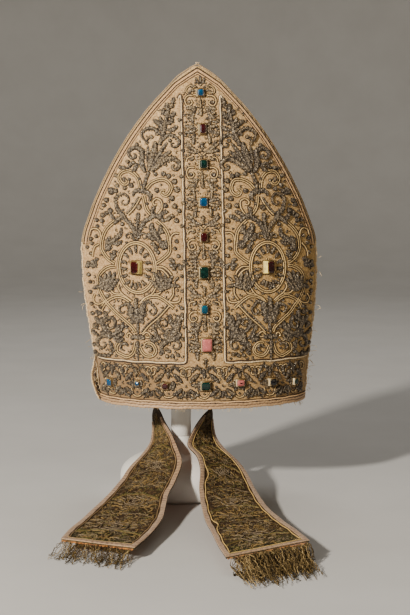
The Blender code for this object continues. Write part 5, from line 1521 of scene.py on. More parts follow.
LAPPET_RIGHT = np.array((
    (0.0780, 0.0480, 0.1230, 0.0300, 0.0545, 0.1230), (0.0620, 0.0350, 0.1130, 0.0350, 0.0560, 0.1110),
    (0.0400, 0.0260, 0.1010, 0.0430, 0.0570, 0.0930), (0.0270, 0.0110, 0.0920, 0.0430, 0.0430, 0.0790),
    (0.0145, -0.0150, 0.0790, 0.0450, 0.0200, 0.0630), (0.0068, -0.0330, 0.0655, 0.0540, -0.0060, 0.0535),
    (0.0170, -0.0620, 0.0560, 0.0690, -0.0330, 0.0430), (0.0195, -0.0860, 0.0460, 0.0785, -0.0620, 0.0330),
    (0.0165, -0.1180, 0.0320, 0.0840, -0.1010, 0.0240), (0.0163, -0.1538, 0.0225, 0.0877, -0.1386, 0.0205),
    (0.0180, -0.2071, 0.0160, 0.0939, -0.1804, 0.0180), (0.0222, -0.2535, 0.0140, 0.1022, -0.2220, 0.0175),
    (0.0261, -0.3090, 0.0145, 0.1121, -0.2703, 0.0185), (0.0305, -0.3548, 0.0155, 0.1205, -0.3139, 0.0195),
))


class Strip:
    """A lappet: place(a, d) gives points and worked-side normals at a across
    from its middle line and d from its end, both in metres."""

    def __init__(self, table, seed):
        P = table
        mid = (P[:, :3] + P[:, 3:]) / 2
        s = np.r_[0, np.cumsum(np.linalg.norm(np.diff(mid, axis=0), axis=1))]
        out = []
        for q in np.linspace(0, s[-1], 260):
            i = int(np.clip(np.searchsorted(s, q) - 1, 0, len(s) - 2))
            t = (q - s[i]) / (s[i + 1] - s[i])
            p0, p1, p2, p3 = P[max(0, i - 1)], P[i], P[i + 1], P[min(len(P) - 1, i + 2)]
            m1 = (p2 - p0) / (s[i + 1] - s[max(0, i - 1)]) * (s[i + 1] - s[i])
            m2 = (p3 - p1) / (s[min(len(P) - 1, i + 2)] - s[i]) * (s[i + 1] - s[i])
            out.append((2 * t ** 3 - 3 * t ** 2 + 1) * p1 + (t ** 3 - 2 * t ** 2 + t) * m1
                       + (3 * t ** 2 - 2 * t ** 3) * p2 + (t ** 3 - t ** 2) * m2)
        self.rows = np.array(out)
        mid = (self.rows[:, :3] + self.rows[:, 3:]) / 2
        self.s = np.r_[0, np.cumsum(np.linalg.norm(np.diff(mid, axis=0), axis=1))]
        self.length = self.s[-1]
        self.wide = np.linalg.norm(self.rows[:, 3:] - self.rows[:, :3], axis=1)
        self.coarse, self.seed = 1.0, seed

    def width(self, d):
        return np.interp(self.length - np.asarray(d, float), self.s, self.wide)

    def at(self, v, d):
        """Point at v (0 left edge, 1 right edge) and d from the end."""
        v, d = np.broadcast_arrays(np.asarray(v, float), np.asarray(d, float))
        q = np.clip(self.length - d, 0, self.length)
        R = np.stack([np.interp(q, self.s, self.rows[:, k]) for k in range(6)], -1)
        p = R[..., :3] * (1 - v[..., None]) + R[..., 3:] * v[..., None]
        lift = 0.0005 * np.sin(d * 62 + v * 3 + self.seed) * np.sin(v * 7 + d * 21) - 0.0004 * np.sin(np.pi * np.clip(v, 0, 1))
        fade = np.clip((d - 0.002) / 0.05, 0.25, 1)
        return p, lift * fade + 0.0002

    def frame(self, v, d):
        v, d = np.broadcast_arrays(np.asarray(v, float), np.asarray(d, float))
        e = 0.0015
        a, la = self.at(v, np.minimum(d + e, self.length))
        b, lb = self.at(v, np.maximum(d - e, 0))
        l, ll = self.at(np.maximum(v - 0.02, -0.02), d)
        r, lr = self.at(np.minimum(v + 0.02, 1.02), d)
        n = unit(np.cross(b - a, r - l))
        p, lp = self.at(v, d)
        return p + n * lp[..., None], n

    def place(self, a, d):
        w = self.width(np.clip(d, 0, self.length))
        p, n = self.frame(0.5 + a / w, d)
        return p + n * (LAPPET_T / 2), n


def brocade_material(name, seed):
    """Brown and gold cloth under the lappet's needlework."""
    m = Mat(name, 0.8, Specular_IOR_Level=0.2)
    big, mid, fine = m.noise(26 + seed, 3), m.noise(240, 4, 0.7), m.noise(900, 3, 0.7)
    d = m.split("Y", uv=True)
    base = m.ramp(mid, (0.34, (0.014, 0.007, 0.004)), (0.50, (0.046, 0.025, 0.011)), (0.64, (0.115, 0.068, 0.026)),
                  (0.78, (0.26, 0.170, 0.075)))
    green = m.ramp(mid, (0.32, (0.010, 0.011, 0.004)), (0.55, (0.034, 0.036, 0.010)), (0.75, (0.13, 0.115, 0.030)))
    base = m.mix(m.math("MULTIPLY", m.fit(d, 0.004, 0.062, 0.95, 0.0), m.fit(big, 0.35, 0.55, 0.5, 1.0), clamp=True), base, green)
    base = m.mix(m.fit(fine, 0.5, 0.75, 0, 0.6), base, (0.02, 0.012, 0.007))
    weave = m.wave(700, m.stretch((1, 1, 1), uv=True), 1.0, "Y")
    return m.done(base, m.bump(weave, 0.5, 0.0004, m.bump(mid, 0.8, 0.001)))


def worm_material(name, a, b, dark, metal):
    m = Mat(name, 0.6, metal, Specular_IOR_Level=0.3)
    tone, crest = m.att("tone"), m.att("crest")
    fine = m.noise(620, 3, 0.7)
    base = m.ramp(tone, (0.0, a), (1.0, b))
    base = m.mix(m.fit(fine, 0.30, 0.42, 0.7, 0.0), base, tuple(min(0.9, c * 2.1) for c in b))
    # painted shade: dark where each thread lies against the cloth, by crest
    base = m.mix(m.fit(crest, 0.2, 0.8, 0.85, 0.0), base, dark)
    base = m.mix(m.fit(fine, 0.50, 0.66, 0, 0.85), base, dark)
    return m.done(base, m.bump(fine, 0.7, 0.0006))


def galloon_material():
    """Pale pink ribbon, woven with close cross lines."""
    m = Mat("lappet_ribbon", 0.72, Sheen_Weight=0.1)
    mid, fine = m.noise(120, 3), m.noise(900, 2)
    u = m.split("X", uv=True)
    bars = m.math("FRACT", m.math("DIVIDE", m.math("ADD", u, m.math("MULTIPLY", m.noise(60, 1), 0.004)), 0.0056))
    bar = m.fit(m.math("ABSOLUTE", m.math("SUBTRACT", bars, 0.5)), 0.20, 0.34, 0.0, 1.0)
    fray = m.fit(m.noise(320, 2), 0.42, 0.62)
    base = m.ramp(mid, (0.32, (0.32, 0.180, 0.088)), (0.60, (0.47, 0.295, 0.148)), (0.8, (0.37, 0.225, 0.108)))
    base = m.mix(m.math("MULTIPLY", bar, m.math("ADD", m.math("MULTIPLY", fray, 0.65), 0.35)), base, (0.14, 0.060, 0.028))
    across = m.split("Y", uv=True)
    selvedge = m.fit(m.math("ABSOLUTE", m.math("SUBTRACT", across, BORDER_W / 2)), 0.0019, 0.0024, 0.0, 0.7)
    base = m.mix(selvedge, base, (0.53, 0.37, 0.235))
    base = m.mix(m.fit(m.noise(450, 3, 0.7), 0.52, 0.68, 0, 0.75), base, (0.22, 0.12, 0.06))
    base = m.mix(m.fit(fine, 0.5, 0.75, 0, 0.5), base, (0.40, 0.26, 0.16))
    rib = m.wave(420, m.stretch((1, 1, 1), uv=True), 0.4, "X")
    return m.done(base, m.bump(rib, 0.5, 0.0005, m.bump(mid, 0.4, 0.001)))


BROCADE = {"left": brocade_material("brocade_left", 0), "right": brocade_material("brocade_right", 3)}
WORM_SILVER = worm_material("lappet_silver", (0.052, 0.036, 0.018), (0.215, 0.155, 0.082), (0.012, 0.007, 0.003), 0.1)
WORM_PALE = worm_material("lappet_flower", (0.066, 0.048, 0.030), (0.25, 0.185, 0.115), (0.012, 0.008, 0.005), 0.1)
WORM_GOLD = worm_material("lappet_gold", (0.072, 0.042, 0.013), (0.29, 0.185, 0.062), (0.014, 0.008, 0.002), 0.1)
WORM_GREEN = worm_material("lappet_green", (0.024, 0.022, 0.006), (0.150, 0.122, 0.032), (0.008, 0.007, 0.002), 0.1)
LAPPET_CORD = gold_cord_material("lappet_gold_cord", (0.66, 0.44, 0.15), (0.10, 0.05, 0.015), 0.1)
LAPPET_CORD_DULL = gold_cord_material("lappet_dull_cord", (0.30, 0.19, 0.085), (0.06, 0.03, 0.012), 0.1)
RIBBON = galloon_material()
def hem_material():
    m = Mat("orange_silk", 0.75, Sheen_Weight=0.1)
    mid, fine = m.noise(190, 4, 0.7), m.noise(520, 3, 0.7)
    base = m.ramp(mid, (0.36, (0.075, 0.030, 0.008)), (0.50, (0.30, 0.105, 0.018)), (0.62, (0.56, 0.22, 0.035)), (0.75, (0.34, 0.13, 0.02)))
    base = m.mix(m.fit(fine, 0.50, 0.66, 0, 0.8), base, (0.06, 0.028, 0.010))
    return m.done(base, m.bump(fine, 0.8, 0.0008))


ORANGE = hem_material()


def closed_sheet(heap, top, low, mats=(0, 1, 0), uv=None):
    """Two grids joined round their rims."""
    r, c = top.shape[:2]
    n = r * c
    start = heap.n
    heap.grid(top, uv, mat=mats[0])
    heap.grid(low, uv, mat=mats[1], flip=True)
    idx = np.arange(n).reshape(r, c) + start
    loop = np.concatenate([idx[0], idx[1:, -1], idx[-1, -2::-1], idx[-2:0:-1, 0]])
    nxt = np.roll(loop, -1)
    rim = np.stack([loop, loop + n, nxt + n, nxt], -1)
    heap.f += [tuple(int(i) for i in f) for f in rim]
    heap.m += [mats[2]] * len(rim)


def lappet(name, table, seed, fringe_spec):
    strip = Strip(table, seed)
    local = np.random.default_rng(40 + seed)
    L = strip.length
    d = np.linspace(L, 0, 170)
    v = np.linspace(0, 1, 17)
    D, V = np.meshgrid(d, v, indexing="ij")
    p, n = strip.frame(V, D)
    uv = np.stack([V * strip.width(D), D], -1)
    heap = Heap()
    closed_sheet(heap, p + n * LAPPET_T / 2, p - n * LAPPET_T / 2, uv=uv)
    cloth = heap.build("lappet_cloth_" + name, [BROCADE[name], LINING], "lappet_cloth", ("lappet_" + name,), sharp=60)

    # ribbon round both sides and the end, mitred at the corners
    edge = Heap()
    ring_d = np.linspace(min(L - 0.045, L), 0.0, 150)

    def ribbon(line_out, line_in):
        """line_*: arrays of (v, d) pairs; lays a ribbon between them."""
        rows_t, rows_l, uvs = [], [], []
        run = 0.0
        prev = None
        for k, f in enumerate(np.linspace(0, 1, 6)):
            vd = line_out * (1 - f) + line_in * f
            P, N = strip.frame(vd[:, 0], vd[:, 1])
            arch = 0.00025 * math.sin(math.pi * f)
            rows_t.append(P + N * (LAPPET_T / 2 + 0.0009 + arch))
            rows_l.append(P + N * (LAPPET_T / 2 - 0.0001))
            if k == 0:
                run = np.r_[0, np.cumsum(np.linalg.norm(np.diff(P, axis=0), axis=1))]
            uvs.append(np.stack([run, np.full(len(run), f * BORDER_W)], -1))
        closed_sheet(edge, np.array(rows_t), np.array(rows_l), (0, 0, 0), np.array(uvs))

    bw = BORDER_W
    side_d = ring_d
    w = strip.width(side_d)
    wav = 0.0003 * np.sin(side_d * 190)
    # the turned-over edge shows below as well: ribbon reaches just past the cloth
    ribbon(np.stack([np.full(len(side_d), -0.004), np.maximum(side_d, 0.0)], -1),
           np.stack([(bw + wav) / w, np.maximum(side_d, bw * 0.98)], -1))
    ribbon(np.stack([1 - (bw + wav) / w, np.maximum(side_d, bw * 0.98)], -1),
           np.stack([np.full(len(side_d), 1.004), np.maximum(side_d, 0.0)], -1))
    vv = np.linspace(0, 1, 60)
    wend = float(strip.wide[-1])
    ribbon(np.stack([bw / wend + vv * (1 - 2 * bw / wend), np.full(60, bw)], -1),
           np.stack([vv, np.full(60, -0.0002)], -1))
    border = edge.build("ribbon_" + name, [RIBBON], "lappet_galloon", ("lappet_border_" + name,), sharp=60)

    # lines inside the ribbon: a dark one, then a thin gold cord that has come loose in places
    lines = Heap()

    def along(offset, wander):
        left = [(-(strip.width(q) / 2 - offset - wander(q, 0)), q) for q in np.linspace(L - 0.05, offset * 1.2, 70)]
        right = [((strip.width(q) / 2 - offset - wander(q, 1)), q) for q in np.linspace(offset * 1.2, L - 0.05, 70)]
        return np.array(left + right)

    for off, r, mat, amp in ((bw + 0.0007, 0.00055, 1, 0.0), (bw + 0.0023, 0.00062, 0, 1.0)):
        def wander(q, right, amp=amp):
            w0 = 0.0004 * math.sin(q * 170 + seed)
            if name == "right" and not right:
                w0 += 0.0045 * math.exp(-((q - 0.118) / 0.010) ** 2) + 0.0030 * math.exp(-((q - 0.252) / 0.014) ** 2)
            return w0 * amp
        pts = along(off, wander)
        P, _ = resample(pts, 0.0016)
        pt, nn = strip.place(P[:, 0], P[:, 1])
        tube_on(lines, pt, nn, r, 5, 0.8, 0.75, mat=mat)
    inner = lines.build("lines_" + name, [LAPPET_CORD if name == "right" else LAPPET_CORD_DULL, DARK_LINE], "gold_cord")

    # needlework: sheaves of padded thread fanning out from the middle line
    work = Heap()
    fans = [(0.017, 0.030, 1), (0.074, 0.036, 0), (0.128, 0.036, 2), (0.186, 0.034, 0), (0.240, 0.034, 1), (0.292, 0.030, 2),
            (0.340, 0.028, 0), (0.385, 0.028, 1)]
    inset = bw + 0.0036

    def worm(a0, d0, ang, length, bend, r, mat, tone):
        k = max(4, int(length / 0.0018))
        q = np.linspace(0, 1, k)
        th = ang + bend * q ** 1.4
        st = length / (k - 1)
        A = a0 + np.r_[0, np.cumsum(np.sin(th[1:]) * st)]
        Dd = d0 + np.r_[0, np.cumsum(np.cos(th[1:]) * st)]
        lim = strip.width(np.clip(Dd, 0, L)) / 2 - inset
        if np.any(np.abs(A) > lim) or Dd.min() < 0.0085 or Dd.max() > L - 0.035:
            good = (np.abs(A) <= lim) & (Dd >= 0.0085) & (Dd <= L - 0.035)
            stop = int(np.argmin(good)) if not good.all() else k
            if stop < 3:
                return
            A, Dd, q = A[:stop], Dd[:stop], q[:stop]
        pt, nn = strip.place(A, Dd)
        rad = r * (0.55 + 0.75 * np.sin(np.pi * np.clip(q * 0.9 + 0.08, 0, 1)))
        tube_on(work, pt, nn, rad, 4, tone, 0.6, mat=mat)

    # close curls of thread over the whole strip
    for j in range(1250):
        dd = local.uniform(0.010, L - 0.040)
        lim = float(strip.width(dd)) / 2 - inset
        a0 = local.uniform(-1, 1) * lim
        pick = [0, 0, 1, 1, 2] if dd > 0.05 else [0, 1, 2, 2, 2]
        swirl = 2.2 * math.sin(dd * 85 + seed) + 1.6 * math.sin(a0 * 150 + seed)
        worm(a0, dd, swirl + local.normal(0, 0.7), local.uniform(0.005, 0.011), local.uniform(-3.0, 3.0),
             local.uniform(0.00034, 0.00054), int(local.choice(pick)), local.uniform(0, 1))
    for d0, size, style in fans:
        if d0 > L - 0.05:
            continue
        half_w = float(strip.width(d0 + size / 2)) / 2
        k = size / 0.034
        for layer in range(4):
            count = (12, 11, 10, 8)[layer]
            for j in range(count):
                f = (j + 0.5) / count * 2 - 1
                ang = f * (1.5 if layer < 3 else 1.1)
                start = (0.022, 0.014, 0.007, 0.002)[layer] * k
                a0 = math.sin(ang) * start * half_w / 0.038
                dd = d0 + math.cos(ang) * start * 0.95
                silver = (style != 2) ^ (layer == 2)
                if layer == 3:
                    silver = style == 0
                length = local.uniform(0.009, 0.013) * k * (1.0 if layer < 2 else 0.8)
                if local.random() < 0.18:
                    silver = not silver
                worm(a0 + local.normal(0, .0012), dd + local.normal(0, .0012), ang + local.normal(0, 0.28), length,
                     f * local.uniform(0.4, 2.4) + local.normal(0, 0.4), local.uniform(0.00052, 0.00080), 0 if silver else 1,
                     local.uniform(0, 1))
        # an arched band of gold and green over each sheaf
        for off, mat, r in ((0.0, 1, 0.0006), (0.0024, 2, 0.0008)) if style != 0 else ((0.0, 0, 0.0006),):
            aa = np.linspace(-1, 1, 40)
            w0 = float(strip.width(min(L, d0 + size * 1.05))) / 2 - inset
            A = aa * w0
            Dd = d0 + size * (1.12 - 0.42 * aa ** 2) + off + 0.0012 * np.sin(aa * 9 + seed + d0 * 50)
            if Dd.max() > L - 0.04:
                continue
            pt, nn = strip.place(A, Dd)
            tube_on(work, pt, nn, r, 5, 0.7, 0.65, mat=mat)
        # side fill: short curls toward the edges
        for j in range(34):
            a0 = local.uniform(-1, 1) * (half_w - inset)
            dd = d0 + local.uniform(-0.25, 0.95) * size
            worm(a0, dd, local.uniform(-2.6, 2.6), local.uniform(0.004, 0.008), local.uniform(-2.5, 2.5),
                 local.uniform(0.0004, 0.0007), int(local.choice([0, 0, 1, 1, 2] if d0 > 0.05 else [0, 1, 2, 2, 2])), local.uniform(0, 1))
    # round flowers of laid silver thread, one above another
    for c, size in ((0.066, 1.0), (0.150, 0.9), (0.235, 0.7)) if name == "left" else ((0.052, 1.0), (0.182, 1.05), (0.262, 0.7)):
        if c > L - 0.07:
            continue
        room = (float(strip.width(c)) / 2 - inset) * 0.46 * size
        for ring_k, f in enumerate((0.20, 0.55, 0.92)):
            t = np.linspace(0, 2 * np.pi, max(14, int(room * f * 2 * np.pi / 0.0022)))[:-1] + ring_k
            wob = 1 + 0.07 * np.sin(t * 6 + seed + ring_k) + local.normal(0, 0.02, len(t))
            pt, nn = strip.place(room * f * wob * np.sin(t) + 0.001 * math.sin(seed + c * 60), c + room * f * wob * np.cos(t) * 0.95)
            tube_on(work, pt + nn * 0.0003, nn, 0.00062, 4, local.uniform(0.6, 1.0), 0.9, closed=True, mat=3)
        for j in range(11):
            a = j * 2 * math.pi / 11 + seed
            worm(math.sin(a) * room * 1.05, c + math.cos(a) * room * 1.05, a, room * 0.55, local.normal(0, 0.7), 0.0008, 0, 0.9)
    work_obj = work.build("needlework_" + name, [WORM_SILVER, WORM_GOLD, WORM_GREEN, WORM_PALE], "embroidery")

    # orange silk of the hem, and the heading of the fringe
    hem = Heap()
    vv = np.linspace(0.012, 0.988, 240)
    P, N = strip.frame(vv, np.zeros(240))
    P2, _ = strip.frame(vv, np.full(240, 0.004))
    out = unit(P - P2)
    rag = 0.0008 * np.sin(vv * 47 + seed) + 0.0007 * np.sin(vv * 131) + local.normal(0, 0.0006, 240)
    if name == "right":
        rag = rag - 0.0016 + 0.0034 * np.exp(-((vv - 0.85) / 0.07) ** 2) + 0.0018 * np.exp(-((vv - 0.10) / 0.06) ** 2)
    else:
        rag = rag - 0.0016 + 0.0016 * np.exp(-((vv - 0.88) / 0.10) ** 2) + 0.0010 * np.exp(-((vv - 0.25) / 0.12) ** 2)
    rows = []
    for f, dz in ((0.0, 0.2), (0.35, 0.25), (0.7, -0.15), (1.0, -0.75)):
        q = P + out * ((0.0030 + rag) * f)[:, None] + N * (0.0006 * dz - 0.0002)
        q[:, 2] = np.maximum(q[:, 2], 0.0009)
        rows.append(q)
    rows = np.array(rows)
    low = rows - np.array([0, 0, 0.0005])
    low[..., 2] = np.maximum(low[..., 2], 0.0003)
    closed_sheet(hem, rows, low, (0, 0, 0))
    hem_obj = hem.build("hem_silk_" + name, [ORANGE], "lining")

    fr = fringe(name, strip, fringe_spec, local)
    return strip


FRINGE_DARK = worm_material("fringe_thread", (0.038, 0.023, 0.007), (0.21, 0.135, 0.043), (0.008, 0.005, 0.002), 0.15)
FRINGE_PALE = worm_material("fringe_bright", (0.20, 0.125, 0.045), (0.56, 0.39, 0.17), (0.05, 0.028, 0.010), 0.15)


def fringe(name, strip, spec, local):
    """Single strands of tarnished metal thread, curled and tangled."""
    length, count, heap_high, curl, sid_pull = spec
    heap = Heap()
    for k in range(count):
        v = local.uniform(0.01 if name == "left" else 0.09, 0.99)
        P, N = strip.frame(np.array([v, v]), np.array([0.0, 0.004]))
        p, out = P[0], unit(P[0] - P[1])
        out = unit(out * np.array([1, 1, 0]))
        across = np.array([-out[1], out[0], 0])
        across_sign = 1.0 if np.dot(across, strip.rows[-1][3:] - strip.rows[-1][:3]) > 0 else -1.0
        L = length * local.uniform(0.45, 1.12)
        if local.random() < 0.12:
            L *= 1.25
        steps = max(8, int(L / 0.0027))
        q = np.linspace(0, 1, steps)
        turn = local.normal(0, 0.35) + np.cumsum(local.normal(0, curl * 0.22, steps))
        turn = turn + curl * 0.8 * np.sin(q * L / 0.0060 * 2 * np.pi * local.uniform(0.6, 1.2) + local.uniform(0, 6.3))
        st = L / (steps - 1)
        fwd = np.r_[0, np.cumsum(np.cos(turn[1:]) * st)]
        sid = np.r_[0, np.cumsum(np.sin(turn[1:]) * st)]
        sid = 0.010 * np.tanh(sid / 0.010) - (v - 0.5) * sid_pull * q * across_sign
        fwd = np.maximum(fwd, 0.0)
        rest = local.uniform(0.0005, heap_high) * (1 - 0.6 * q)
        z = np.maximum(0.0005, (p[2] - 0.0006) * np.clip(1 - q * L / 0.024, 0, 1) ** 1.4 + rest * np.clip(q * L / 0.010, 0, 1)
                       + 0.0010 * np.sin(q * L / 0.007 * 2 * np.pi + local.uniform(0, 6)) * np.clip(q * 3, 0, 1))
        pts = p + out * (0.0016 + fwd)[:, None] + across * sid[:, None]
        pts[:, 2] = z
        pts[0] = p + out * 0.0006 + np.array([0, 0, -0.0004])
        tube_on(heap, pts, np.tile([0.0, 0.0, 1.0], (steps, 1)), local.uniform(0.00026, 0.00042), 4, local.uniform(0, 1), 0.0,
                mat=1 if local.random() < 0.24 else 0)
    return heap.build("fringe_strands_" + name, [FRINGE_DARK, FRINGE_PALE], "fringe", ("fringe_" + name,))


STRIP_L = lappet("left", LAPPET_LEFT, 0, (0.044, 105, 0.0035, 1.0, 0.0))
STRIP_R = lappet("right", LAPPET_RIGHT, 2, (0.080, 300, 0.0115, 1.2, 0.024))


# ------------------------------------------------------------------- stand
def paint_material():
    """White paint on turned wood, slightly yellowed, with faint brush rings."""
    m = Mat("white_paint", 0.38, Specular_IOR_Level=0.5, Coat_Weight=0.15, Coat_Roughness=0.25)
    big, mid, fine = m.noise(14, 3), m.noise(90, 4), m.noise(420, 2)
    base = m.ramp(big, (0.3, (0.79, 0.765, 0.70)), (0.7, (0.83, 0.815, 0.77)))
    base = m.mix(m.fit(mid, 0.55, 0.78, 0, 0.35), base, (0.66, 0.62, 0.54))
    low = m.fit(m.split("Z"), 0.0, 0.006, 0.5, 0.0)
    base = m.mix(low, base, (0.52, 0.47, 0.40))
    turned = m.wave(160, m.stretch((0.05, 0.05, 1.0)), 0.8, "Z")
    return m.done(base, m.bump(turned, 0.10, 0.0005, m.bump(fine, 0.12, 0.0004)), m.fit(mid, 0.3, 0.7, 0.30, 0.48))


PAINT = paint_material()
FOOT = ((0.0000, 0.0000), (0.0742, 0.0000), (0.0765, 0.0010), (0.0778, 0.0032), (0.0780, 0.0060), (0.0780, 0.0180), (0.0779, 0.0215),
        (0.0773, 0.0255), (0.0758, 0.0295), (0.0731, 0.0338), (0.0688, 0.0376), (0.0640, 0.0408), (0.0580, 0.0439), (0.0520, 0.0462),
        (0.0460, 0.0477), (0.0400, 0.0488), (0.0330, 0.0501), (0.0270, 0.0519), (0.0222, 0.0550), (0.0185, 0.0590), (0.0155, 0.0640),
        (0.0137, 0.0685), (0.0128, 0.0718), (0.0, 0.0719))
POST = ((0.0, 0.0722), (0.0124, 0.0722), (0.0127, 0.0726), (0.0127, 0.1200), (0.0126, 0.2000), (0.0127, 0.2752), (0.0124, 0.2759), (0.0, 0.2759))
PAD = ((0.0, 0.2764), (0.0494, 0.2764), (0.0502, 0.2772), (0.0514, 0.2790), (0.0520, 0.2812), (0.0516, 0.2845), (0.0500, 0.2880),
       (0.0460, 0.2910), (0.0400, 0.2934), (0.0310, 0.2955), (0.0220, 0.2968), (0.0, 0.2972))


def turned(name, profile, node, segments=112):
    heap = Heap()
    a = np.linspace(0, 2 * np.pi, segments, endpoint=False)
    prof = np.array(profile)[1:-1]
    rows = np.stack([prof[:, :1] * np.cos(a)[None], prof[:, :1] * np.sin(a)[None],
                     np.broadcast_to(prof[:, 1:], (len(prof), segments))], -1)
    heap.grid(rows, None, wrap=True, close=True)
    return heap.build(name, [PAINT], "stand", (node,), sharp=50)


turned("foot", FOOT, "stand_base")
turned("post", POST, "stand_post", 64)
turned("support", PAD, "stand_pad", 64)


# ------------------------------------------------------ frayed seam, loose ends
def loose_threads():
    heap = Heap()
    local = np.random.default_rng(11)

    def hair(p, direction, length, r=0.00016, tone=0.6, mat=0, wild=0.5):
        steps = 9
        q = np.linspace(0, 1, steps)
        d = unit(np.array(direction, float))
        pts = [np.array(p, float)]
        for k in range(steps - 1):
            d = unit(d + local.normal(0, wild * 0.35, 3) + np.array([0, 0, -0.10]))
            pts.append(pts[-1] + d * length / (steps - 1))
        tube_on(heap, np.array(pts), np.tile([0.3, -1.0, 0.2], (steps, 1)), r, 4, tone, 0.0, mat=mat)

    # the torn lower left seam: broken threads across the gap
    for k in range(22):
        h = local.uniform(0.004, 0.062)
        w = float(half_width(h))
        base = face(np.array([-w * 0.995]), np.array([h]), -1)[0] + np.array([-0.0012, -0.0004, 0])
        hair(base, (-0.7 + local.normal(0, .4), -0.5, local.normal(0, .8)), local.uniform(0.003, 0.011), local.uniform(.00014, .00026),
             local.uniform(0.2, 1), int(local.random() < 0.4))
    for k in range(26):
        h = local.uniform(0.004, 0.19)
        s = 1 if local.random() < 0.6 else -1
        w = float(half_width(h))
        hair((MITRE_X + s * (w + 0.003) + LEAN * h, MITRE_Y, RIM_Z + h), (s * 0.9, -0.2, local.normal(0, .7)), local.uniform(0.003, 0.010),
             0.00024, local.uniform(0.5, 1))
    for x, z, dx, dz, ln in ((0.1555, 0.172, 0.9, 0.5, 0.012), (0.1545, 0.160, 0.8, -0.7, 0.010), (0.1530, 0.150, 0.7, 0.9, 0.011),
                             (0.1500, 0.124, 0.8, -0.4, 0.009), (0.1490, 0.116, 0.6, -1.0, 0.008), (-0.1030, 0.176, -1.0, 0.4, 0.009),
                             (0.1440, 0.118, 0.3, -1.0, 0.009), (0.1560, 0.260, 1.0, 0.3, 0.009)):
        for j in range(2):
            hair((x, MITRE_Y, z + j * 0.002), (dx, -0.3, dz), ln, 0.00026, 0.9, wild=0.7)
    # tufts along the rim
    for k in range(60):
        q = local.uniform(0.05, 1.95)
        P, N = rim_place(np.array([q]), np.array([-0.001]))
        hair(P[0] + N[0] * 0.0008, N[0] * 0.5 + np.array([local.normal(0, .5), 0, -0.8]), local.uniform(0.002, 0.006),
             local.uniform(.00014, .00022), local.uniform(0.3, 1))
    # a few broken gold threads standing off the work
    for k in range(70):
        x, h = local.uniform(-0.12, 0.12), local.uniform(0.01, 0.36)
        if abs(x) > float(half_width(h)) - 0.012:
            continue
        P, N = face_frame(np.array([x]), np.array([h]), -1)
        hair(P[0] + N[0] * 0.0008, N[0] + local.normal(0, .6, 3), local.uniform(0.002, 0.006), 0.00014, local.uniform(0.3, 1), 1)
    heap.build("loose_threads", [PALE, GOLD], "pale_cord")



def torn_flap():
    """Where the lower left seam has come open, its edge stands off in a narrow
    frayed strip, with loose warp threads hanging in the gap."""
    local = np.random.default_rng(23)
    hk = np.array([0.0560, 0.0475, 0.0375, 0.0300, 0.0200, 0.0075, 0.0010])
    ok = np.array([0.0004, 0.0034, 0.0072, 0.0088, 0.0082, 0.0052, 0.0026])
    P, _ = resample(np.stack([hk, ok], -1), 0.0016)
    h, off = P[:, 0], P[:, 1]
    edge = MITRE_X - half_width(np.maximum(h, 0)) + LEAN * h
    n = len(h)
    outer = np.stack([edge - off, np.full(n, MITRE_Y - 0.0035), RIM_Z + h], -1)
    wide = np.minimum(off * 0.26, 0.0019) + local.normal(0, 0.0003, n)
    wide = np.maximum(wide, 0.0004)
    heap = Heap()
    rows = [outer + np.stack([wide * f, -0.0012 * math.sin(f * 2.6) + 0 * wide, 0.0004 * np.sin(h * 900 + f)], -1)
            for f in (0.0, 0.35, 0.7, 1.0)]
    top = np.array(rows)
    closed_sheet(heap, top, top + np.array([0.0002, 0.0012, 0.0]), (0, 1, 0))
    # the lining behind the gap, given the near-black dark silk as painted shade in the open seam
    back_rows = [np.stack([edge - off * f + 0.0012 * (1 - f), np.full(n, MITRE_Y + 0.0030), RIM_Z + h], -1) for f in (0.0, 0.5, 1.0)]
    lin = np.array(back_rows)
    closed_sheet(heap, lin, lin + np.array([0.0, 0.0012, 0.0]), (2, 2, 2))
    strands(heap, outer + np.array([-0.0004, -0.0004, 0]), 0.00095, 2, 0.0060, 0.0011, 0.95, mat=3, rough=0.0003)
    # hanging threads
    for k in range(12):
        f = local.uniform(0.04, 1.20) * 0.60
        a, b = sorted(local.uniform(0.004, 0.052, 2))
        if b - a < 0.012:
            b = min(0.054, a + 0.018)
        q = np.linspace(a, b, 9)
        o = np.interp(q, h[::-1], off[::-1]) * f
        line = np.stack([MITRE_X - half_width(q) + LEAN * q - o + local.normal(0, 0.0003, 9), MITRE_Y - 0.0030 + local.normal(0, 0.0005, 9),
                         RIM_Z + q], -1)
        tube_on(heap, line, np.tile([0.0, -1.0, 0.0], (9, 1)), local.uniform(0.00022, 0.00038), 5, local.uniform(0.4, 1.0), 0.0,
                mat=3 if local.random() < 0.6 else 4)
        heap.crest[-1] = np.full(heap.crest[-1].shape, 0.85)
    heap.build("torn_seam_left", [SILK, LINING, DARK_LINE, PALE, EDGE], "pale_cord")


torn_flap()
loose_threads()


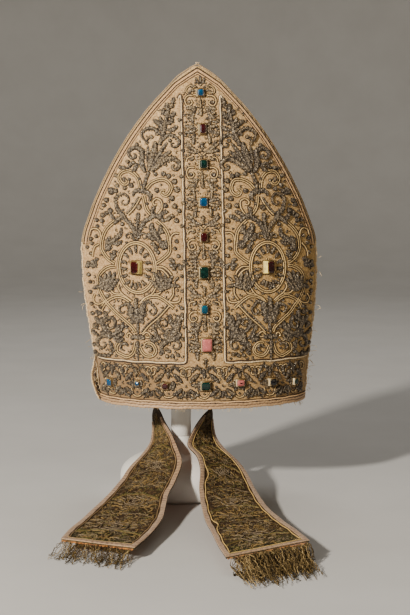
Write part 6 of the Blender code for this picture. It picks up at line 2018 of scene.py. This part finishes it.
# ------------------------------------------------------------- floor and light
def studio():
    m = Mat("pale_floor", 0.85)
    base = m.mix(m.fit(m.noise(6, 3), 0.35, 0.65), (0.50, 0.49, 0.47), (0.53, 0.52, 0.50))
    mat = m.done(base)
    prof = ((0.0, -0.0002), (2.9, -0.0002), (3.35, 0.03), (3.75, 0.14), (4.1, 0.36), (4.35, 0.70), (4.48, 1.15), (4.5, 1.8), (4.5, 5.0))
    segments = 96
    a = np.linspace(0, 2 * np.pi, segments, endpoint=False)
    verts = [(0.0, 0.0, prof[0][1])]
    for r, z in prof[1:]:
        verts += [(r * math.cos(t), r * math.sin(t), z) for t in a]
    faces = [(0, 1 + k, 1 + (k + 1) % segments) for k in range(segments)]
    for i in range(len(prof) - 2):
        for k in range(segments):
            b0, b1 = 1 + i * segments, 1 + (i + 1) * segments
            faces.append((b0 + k, b1 + k, b1 + (k + 1) % segments, b0 + (k + 1) % segments))
    mesh = bpy.data.meshes.new("studio_floor")
    mesh.from_pydata(verts, [], faces)
    mesh.materials.append(mat)
    mesh.shade_smooth()
    obj = bpy.data.objects.new("studio_floor", mesh)
    bpy.context.scene.collection.objects.link(obj)
    obj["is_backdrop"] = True


studio()


def area_light(name, place, aim, size, watts, colour):
    data = bpy.data.lights.new(name, "AREA")
    data.shape = "DISK"
    data.size = size
    data.energy = watts
    data.color = colour
    obj = bpy.data.objects.new(name, data)
    bpy.context.scene.collection.objects.link(obj)
    obj.location = place
    obj.rotation_euler = (Vector(aim) - Vector(place)).to_track_quat("-Z", "Y").to_euler()
    return obj


area_light("key", (-1.52, -1.98, 1.30), (0.02, -0.05, 0.26), 0.20, 128, (1.0, 0.935, 0.835))
area_light("fill", (2.1, -1.3, 1.3), (0.02, 0.0, 0.25), 1.4, 4.5, (1.0, 0.80, 0.50))
area_light("top", (0.2, 1.3, 2.6), (0.0, 0.3, 0.0), 2.0, 22, (1.0, 0.98, 0.96))

world = bpy.data.worlds.new("studio")
bpy.context.scene.world = world
world.use_nodes = True
world.node_tree.nodes["Background"].inputs["Color"].default_value = (1.0, 0.95, 0.86, 1.0)
world.node_tree.nodes["Background"].inputs["Strength"].default_value = 0.085


# ------------------------------------------------------------------- camera
def camera():
    az, pitch = math.radians(3.5), math.radians(5.7)
    look = Vector((math.sin(az) * math.cos(pitch), math.cos(az) * math.cos(pitch), -math.sin(pitch)))
    right = Vector((math.cos(az), -math.sin(az), 0.0))
    up = right.cross(look)
    data = bpy.data.cameras.new("camera")
    data.sensor_fit = "AUTO"
    data.sensor_width = 36.0
    data.lens = 36.0 * 1275.0 / 615.0
    data.clip_start, data.clip_end = 0.05, 50
    cam = bpy.data.objects.new("camera", data)
    bpy.context.scene.collection.objects.link(cam)
    m = Matrix((right, up, -look)).transposed().to_4x4()
    m.translation = Vector((-0.0677, -1.6089, 0.396))
    cam.matrix_world = m
    bpy.context.scene.camera = cam


camera()

total = 0
for o in sorted(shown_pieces(), key=lambda q: q.name):
    if o.type == "MESH":
        tris = sum(len(p.vertices) - 2 for p in o.data.polygons)
        total += tris
        if tris > 20000:
            print("triangles", o.name, tris)
print("triangles in all", total)
